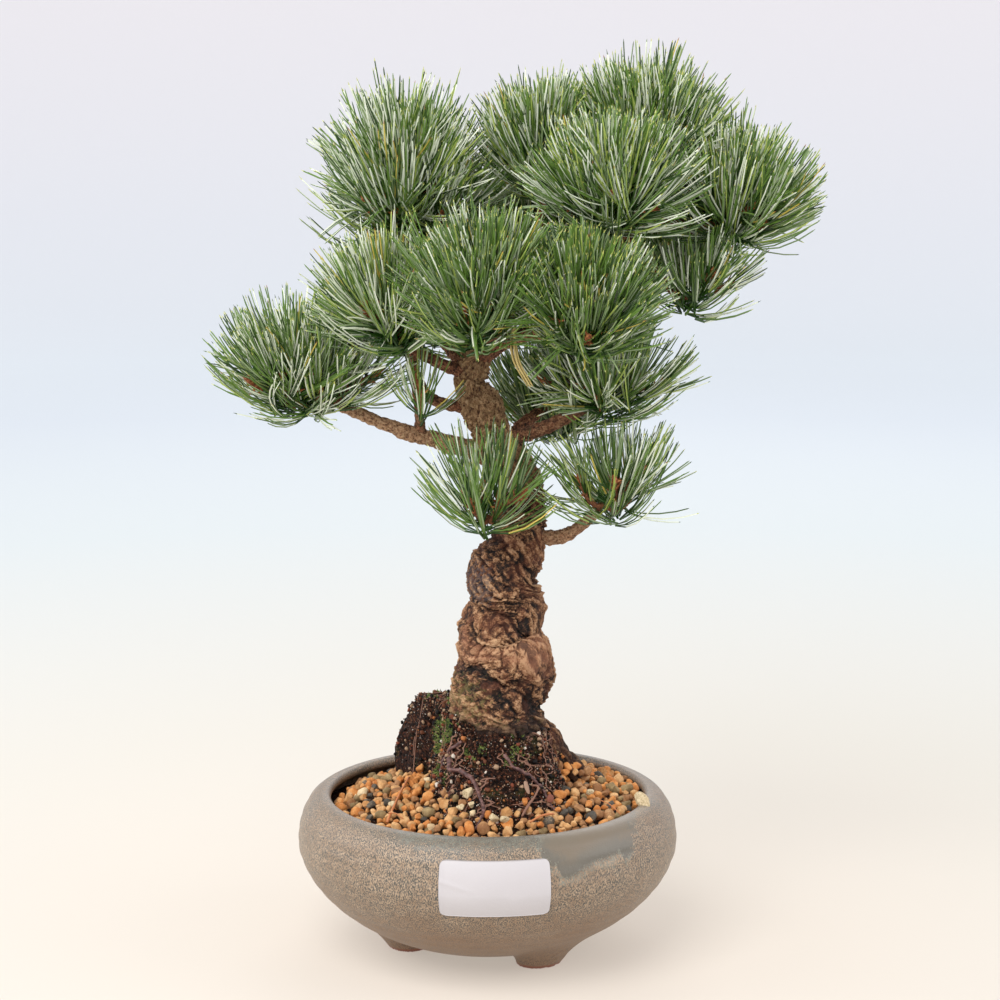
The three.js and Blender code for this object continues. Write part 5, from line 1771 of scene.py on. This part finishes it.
def throw_pebbles(tries, closeness, rng):
    """Places and half-sizes of pebbles that don't lie on each other."""
    kept_places, kept_sizes = np.zeros((0, 2)), np.zeros(0)
    for _ in range(tries):
        size = PEBBLE["least"] + PEBBLE["more"] * rng.random() ** PEBBLE["power"]
        radius = (GRAVEL_REACH - 0.6 * size) * math.sqrt(rng.random())
        turn = rng.uniform(0, 2 * math.pi)
        spot = np.array([radius * math.cos(turn), radius * math.sin(turn)])
        if on_mound(*spot) > 2.5 + 3.0 * rng.random() ** 3:
            continue
        gaps = np.linalg.norm(kept_places - spot, axis=1) - closeness * (kept_sizes + size)
        if len(gaps) and gaps.min() < 0:
            continue
        kept_places = np.vstack([kept_places, spot])
        kept_sizes = np.append(kept_sizes, size)
    return kept_places, kept_sizes

print("gravel is", round(float(gravel_height(0.0, 0.0)), 1), "mm high in the middle")

# %% [markdown]
# Each pebble has one of six earthy colours, with two tones, a fine grain and pale dust on it.
# One material for each colour is enough, because noise makes every pebble differ.

# %% Pebble finishes
PEBBLE_COLOURS = {
    "pebble_orange": ((184, 112, 50), (214, 148, 82), 0.33),
    "pebble_tan": ((182, 130, 76), (214, 168, 114), 0.31),
    "pebble_brown": ((140, 96, 58), (172, 126, 82), 0.2),
    "pebble_olive": ((124, 102, 66), (156, 132, 90), 0.1),
    "pebble_dark": ((66, 60, 52), (96, 88, 76), 0.045),
    "pebble_cream": ((206, 178, 136), (226, 204, 164), 0.015),
}


def pebble_finish(name, low, high):
    """Clay in two tones, with pale dust on it."""
    material, surface, place = finish(name, roughness=0.8)
    tone = place.noise(5.5, 2.0)
    grain = place.noise(0.7, 4.0, 0.7)
    colour = (tone + (grain - 0.5) * 0.5).step(0.35, 0.65).mix(screen(*low), screen(*high))
    dust = (grain + (tone - 0.5)).step(0.62, 0.8)
    connect(
        surface, base_color=(dust * 0.3).mix(colour, screen(232, 200, 156)),
        normal=place.bump(grain, 0.35),
    )
    return material


pebble_materials = [
    pebble_finish(name, low, high) for name, (low, high, _) in PEBBLE_COLOURS.items()
]
print("pebble finishes:", len(pebble_materials))

# %% [markdown]
# A physics drop could settle the pebbles, but it costs minutes. On a bed a stone thick it is
# enough to give each its height, and to tuck a few against the thick root.

# %% Laying the gravel
rng = np.random.default_rng(12)
spots, sizes = throw_pebbles(9000, 0.66, rng)
heights = gravel_height(*spots.T) + np.clip(on_mound(*spots.T), 0, 5) - sizes * 0.3
heights += rng.uniform(-1.1, 0.7, len(sizes))
# A few pebbles lie on the foot of the thick root at the right.
climbing = np.array([
    (33.5, -7.0, 87.5), (37.5, -5.5, 86.0), (41.0, -6.5, 83.5), (30.0, -8.5, 89.5),
    (36.0, -9.5, 84.0), (41.5, -1.5, 85.0), (44.5, -3.5, 82.5), (38.5, 0.5, 88.5),
    (34.0, -1.5, 91.0), (43.5, 3.5, 84.0), (40.0, 5.5, 87.0), (46.5, 1.0, 81.5),
    (35.0, 5.0, 90.5), (31.0, -4.0, 92.0),
])
climbing_sizes = rng.uniform(2.2, 3.6, len(climbing))
spots = np.vstack([spots, climbing[:, :2]])
sizes = np.append(sizes, climbing_sizes)
heights = np.append(heights, climbing[:, 2] + climbing_sizes * 0.3)
top_layer = scatter(np.column_stack([spots, heights]), sizes, PEBBLE["top_detail"], rng)
deep_spots, deep_sizes = throw_pebbles(2500, 0.8, rng)
heights = gravel_height(*deep_spots.T) - 3.4 + rng.uniform(-0.6, 0.6, len(deep_sizes))
deep_layer = scatter(
    np.column_stack([deep_spots, heights]), deep_sizes, PEBBLE["deep_detail"], rng,
)
shares = np.array([share for _, _, share in PEBBLE_COLOURS.values()])
kinds = rng.choice(len(shares), p=shares / shares.sum(), size=len(sizes) + len(deep_sizes))
per_lump = [len(ball_of(PEBBLE[layer])[1]) for layer in ("top_detail", "deep_detail")]
per_lump = np.repeat(per_lump, [len(sizes), len(deep_sizes)])
add_piece(
    "gravel_pebbles", joined([top_layer, deep_layer]), pebble_materials, "gravel", ["gravel"],
    kinds=np.repeat(kinds, per_lump),
)
print("pebbles:", len(sizes) + len(deep_sizes))

# %% [markdown]
# Under the pebbles lies dark soil. It only shows in the cracks, as a bumpy disc just below
# the pebbles, from the root ball out to the wall of the bowl.

# %% Soil between the pebbles
BED = {"rings": 60, "sides": 180, "inner": 8.0, "outer": 76.0, "depth": 3.6}
bed_turns = np.linspace(0, 2 * math.pi, BED["sides"], endpoint=False)
bed_radii = np.linspace(BED["inner"], BED["outer"], BED["rings"])[:, None]
bed = polar(bed_radii, bed_turns, 0.0)
bed[..., 2] = gravel_height(bed[..., 0], bed[..., 1]) - BED["depth"] + 0.8 * noise(bed, 4.0, 3)
bed_faces = ring_faces(BED["rings"], BED["sides"])
add_piece("soil_bed", (bed.reshape(-1, 3), bed_faces), [wet_soil], "soil")

# %% [markdown]
# What makes the root ball look real is what clings to it: dark crumbs, white grit, fine
# roots, a little moss and dead straw. The white grit and the palest crumbs are partly painted
# glints. All of it is strewn on the rough skin made above.

# %% Crumbs, grit and painted glints on the root ball
UNDER_TRUNK = 17.0


def strewn(count, rng, low=0.0, high=1.02, bearings=(0.0, 360.0)):
    """Random places on the root ball between two shares of the way to its toe."""
    degrees = rng.uniform(*bearings, count)
    toe = mound_at(degrees)[0]
    share = np.sqrt(rng.uniform(low**2, high**2, count))
    return mound_skin(UNDER_TRUNK + (toe - UNDER_TRUNK) * share, degrees)


rng = np.random.default_rng(31)
# Each colour of crumb, with its share of all crumbs.
CRUMBS = {
    "soil_crumb": (9, 5, 4, 0.4), "bark_crumb": (96, 56, 36, 0.25),
    "grey_crumb": (158, 130, 104, 0.2), "rusty_crumb": (118, 62, 42, 0.09),
    # The palest crumbs are partly painted glints.
    "pale_crumb_and_glint": (206, 196, 182, 0.025), "clay_crumb": (168, 106, 60, 0.035),
}
crumb_materials = [
    plain(name, screen(*row[:3]), 0.6, specular_ior_level=0.2) for name, row in CRUMBS.items()
]
crumb_shares = [row[3] for row in CRUMBS.values()]
# Each row: a name, how many, their least half-size, how much more it may be, and their detail.
CRUMB_SIZES = (("soil_crumbs", 1700, 0.55, 1.1, 2), ("fine_crumbs", 7000, 0.28, 0.5, 1))
for name, count, least, more, detail in CRUMB_SIZES:
    spots, normals = strewn(count, rng)
    sizes = least + more * rng.random(count) ** 2
    shape = scatter(spots + normals * (sizes * 0.35)[:, None], sizes, detail, rng)
    kinds = rng.choice(len(CRUMBS), p=crumb_shares, size=count)
    per_crumb = len(shape[1]) // count
    add_piece(name, shape, crumb_materials, "root_ball", kinds=np.repeat(kinds, per_crumb))
# White grit: partly real grit, partly painted glints.
grit_and_glint_material = plain("white_grit_and_glints", screen(206, 196, 182), 0.6)
spots, normals = strewn(800, rng)
sizes = 0.16 + 0.34 * rng.random(len(spots)) ** 2
grit = scatter(spots + normals * 0.25, sizes, 1, rng)
add_piece("white_grit_and_glints", grit, [grit_and_glint_material], "root_ball")

# %% [markdown]
# Three bolder roots run over the front of the root ball, purple brown and as thick as a pencil
# lead. They are tubes that lie on its surface, along the same points as in the solid.

# %% Roots
# Each root: its radius, and the radii and bearings on the root ball that it runs through.
ROOTS = {
    "front_root": (1.2, (
        (25, 216), (28.5, 232), (32, 250), (36, 257), (41, 261.5), (46, 264.5), (49, 263), (53, 261),
    )),
    "left_root": (0.85, ((22, 224), (24.5, 212), (26.9, 211.3), (29, 219.2), (33, 229))),
    "right_root": (0.95, (
        (25, 281), (29, 287), (32, 296), (33.5, 301), (36, 306), (39, 307), (46, 309),
    )),
}


def root_tube(degrees, radii, thickness, taper=0.45, raised=0.6):
    """A root that lies on the root ball along bearings and radii."""
    places, normals = mound_skin(radii, degrees)
    lying = 0.6 * places + 0.4 * mound_smooth(radii, degrees) + normals * thickness * raised
    width = thickness * (1 - taper * np.linspace(0, 1, len(radii)))
    return tube(smooth(np.column_stack([lying, width]), 3), 9, 0.35, 3)


ROOT_TONES = ((0.3, 48, 28, 26), (0.5, 88, 56, 52), (0.7, 132, 96, 86))
root_skin = grained("root_skin", 0.55, (1.6, 4.0), ROOT_TONES, 0.3)
for name, (thickness, path) in ROOTS.items():
    radii, degrees = smooth(path, 4).T
    add_piece(name + "_skin", root_tube(degrees, radii, thickness), [root_skin], "root", [name])

# %% [markdown]
# Finer roots wander downhill in all directions, as roots do that once ran through a pot. Each
# is a tube that drifts at random while it keeps to the root ball.

# %% Rootlets
rng = np.random.default_rng(55)
rootlets = []
for _ in range(100):
    t = np.linspace(0, 1, 11)
    bearing = rng.uniform(0, 360)
    toe = float(mound_at(np.array([bearing]))[0][0])
    start = 20 + (toe - 22) * rng.uniform(0, 0.75)
    radii = start + rng.uniform(2, 12) * t
    drift = np.cumsum(rng.normal(0, 3.2, len(t))) + rng.normal(0, 14) * t
    rootlets.append(root_tube(bearing + drift, radii, rng.uniform(0.16, 0.36), raised=1.2))
# A pale rootlet lies looped at the front, on the right.
LOOP = ((19.5, -36.5, 86.5, 0.4), (23.3, -37.7, 86.4, 0.55), (21.6, -43.1, 83.4, 0.5),
        (18.2, -49.3, 80.2, 0.55), (15.8, -54.3, 77.4, 0.4))
rootlets.append(tube(smooth(LOOP, 6), 8, 0.3, 3))
pale_root = plain("pale_root", screen(134, 96, 78), 0.7)
add_piece("rootlets", joined(rootlets), [pale_root], "root")

# %% [markdown]
# Moss grows where the root ball stays damp: on top of the left lobe and at the trunk's foot.
# It is thousands of tiny blades, in three greens.

# %% Moss
def blades(spots, normals, rng, tall, thick):
    """Three-sided pointed blades that stand on a surface."""
    count = len(spots)
    lean = unit(normals + rng.normal(0, 0.45, (count, 3)))
    first = unit(np.cross(lean, rng.normal(size=(count, 3))))
    second = np.cross(lean, first)
    height = rng.uniform(0.6, 1.3, count)[:, None] * tall
    corners = []
    for turn in (0.0, 2 * math.pi / 3, 4 * math.pi / 3):
        out = first * math.cos(turn) + second * math.sin(turn)
        corners.append(spots + out * thick - lean * 0.3)
    corners.append(spots + lean * height)
    places = np.stack(corners, axis=1).reshape(-1, 3)
    one = np.array([[0, 1, 3], [1, 2, 3], [2, 0, 3], [0, 2, 1]])
    return places, (one + np.arange(count)[:, None, None] * 4).reshape(-1, 3)


rng = np.random.default_rng(91)
# Each bed: how many blades, between which bearings, and between which shares of the way out.
MOSS_BEDS = ((4200, 140, 222, 0.0, 0.75), (900, 200, 262, 0.0, 0.3), (700, 280, 345, 0.0, 0.3),
             (1200, 60, 150, 0.1, 0.7), (160, 205, 212, 0.55, 0.68))
moss_spots, moss_normals = [], []
for count, low, high, near, far in MOSS_BEDS:
    spots, normals = strewn(count, rng, near, far, (low, high))
    grows = noise(spots, 6.0, 21) + 0.5 * noise(spots, 2.0, 22) > 0.14
    moss_spots.append(spots[grows])
    moss_normals.append(normals[grows])
moss_spots = np.concatenate(moss_spots)
moss = blades(moss_spots, np.concatenate(moss_normals), rng, 1.7, 0.36)
MOSS_COLOURS = {
    "moss_dark": (58, 72, 34), "moss_green": (88, 108, 46), "moss_light": (134, 146, 74),
}
moss_materials = [plain(name, screen(*colour), 0.8) for name, colour in MOSS_COLOURS.items()]
kinds = np.repeat(rng.choice(3, p=[0.36, 0.36, 0.28], size=len(moss_spots)), 4)
add_piece("moss", moss, moss_materials, "root_ball", kinds=kinds, smooth=False)

# %% [markdown]
# Last come the odd pieces. White pumice lies at the front of the gravel: the same knocked
# lumps as the pebbles, but finer and with pores, because these stones are seen one by one.

# %% Pumice
def on_ground(x, y):
    """The top of the gravel or of the root ball at a place."""
    return max(float(gravel_height(x, y)), float(gravel_height(x, y) + on_mound(x, y)))


PUMICE = (
    (-8.5, -43.0, 3.4), (-12.0, -45.5, 2.3), (-7.0, -48.0, 2.5), (3.2, -56.0, 3.2), (8.4, -57.0, 2.8),
    (47.5, -22.0, 2.6), (-44.0, -30.0, 2.0),
)
rng = np.random.default_rng(8)
pumice_centres = np.array([(x, y, on_ground(x, y) + size * 0.5) for x, y, size in PUMICE])
pumice_sizes = np.array([size for _, _, size in PUMICE])
stones = scatter(pumice_centres, pumice_sizes, 4, rng, 5)
PUMICE_TONES = ((0.3, 150, 126, 92), (0.5, 202, 182, 144), (0.7, 226, 208, 172))
pumice = grained("pumice", 0.85, (0.9, 4.0, 0.7), PUMICE_TONES, 0.5)
add_piece("pumice_stones", stones, [pumice], "gravel")

# %% [markdown]
# A flat pale chip lies by the lip on the right, and two flakes of bark on the root ball. Each
# is one lump pressed flat and turned to lie on what is under it.

# %% Chip and flakes
def flake(place, half, facing, turn, rng, cuts=6):
    """A flat chip with its own half-sizes, its flat side towards `facing`."""
    up = unit(np.array(facing, float))
    side = unit(np.cross([0.0, 0.0, 1.0], up))
    arms = np.array([side, np.cross(up, side), up])
    cosine, sine = math.cos(turn), math.sin(turn)
    arms = np.array([(cosine, sine, 0), (-sine, cosine, 0), (0, 0, 1)]) @ arms
    places, triangles = ball_of(4)
    shape = knocked(places, rng, cuts, 0.8, 0.2) * np.array(half)
    return shape @ arms + np.array(place), triangles


chip = flake((71.6, -24.0, 75.8), (4.6, 3.3, 1.0), (0.1, -0.8, 0.75), 2.2, rng, cuts=0)
add_piece("pale_chip", chip, [pumice], "gravel")
# Each flake of bark: its radius and bearing on the root ball, half-sizes, turn and colour.
BARK_FLAKES = (
    (37.3, 293.0, (3.2, 1.2, 0.8), 1.5, (152, 122, 102)),
    (40.8, 308.0, (3.0, 1.7, 0.9), 0.5, (124, 70, 52)),
)
for number, (radius, bearing, half, turn, tone) in enumerate(BARK_FLAKES):
    spot, way = mound_skin(np.array([radius]), np.array([bearing]))
    name = f"bark_flake_{number + 1}"
    shape = flake(spot[0] + way[0] * 0.9, half, way[0], turn, rng)
    add_piece(name, shape, [plain(name, screen(*tone), 0.8)], "root_ball")

# %% [markdown]
# A few straws fell from the tree. They span from stone to stone in a low arch.

# %% Straws
# Each straw: where it starts and ends on the gravel, and its radius.
STRAWS = (
    ((-36.9, -0.5), (-45.3, -47.8), 0.5), ((19.4, -58.9), (30.3, -50.5), 0.55),
    ((-45.0, -40.0), (-38.0, -48.0), 0.3), ((52.0, -30.0), (61.0, -40.0), 0.25),
)
straw_parts = []
for (x0, y0), (x1, y1), thickness in STRAWS:
    t = np.linspace(0, 1, 9)
    x, y = x0 + (x1 - x0) * t, y0 + (y1 - y0) * t
    z = on_ground(x0, y0) * (1 - t) + on_ground(x1, y1) * t + 1.8 + 1.2 * np.sin(math.pi * t)
    straw_parts.append(tube(np.column_stack([x, y, z, np.full(9, thickness)]), 6, 0.2, 4))
straw = plain("dry_straw", screen(190, 118, 70), 0.6)
add_piece("dry_straws", joined(straw_parts), [straw], "gravel")

# %% [markdown]
# Both boxes are measured, and how far the dressed model grows past its solids is printed.
# The model must not outgrow its solids.

# %% Sizes and the end
dressed_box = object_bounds()
size_rows = {
    "cad": [[float(v) for v in corner] for corner in cad_box],
    "visual": [[float(v) for v in corner] for corner in dressed_box],
}
print("box grows by (mm):", [
    round(1000 * (b - a), 1) for a, b in zip(size_rows["cad"][0] + size_rows["cad"][1],
                                             size_rows["visual"][0] + size_rows["visual"][1])
])
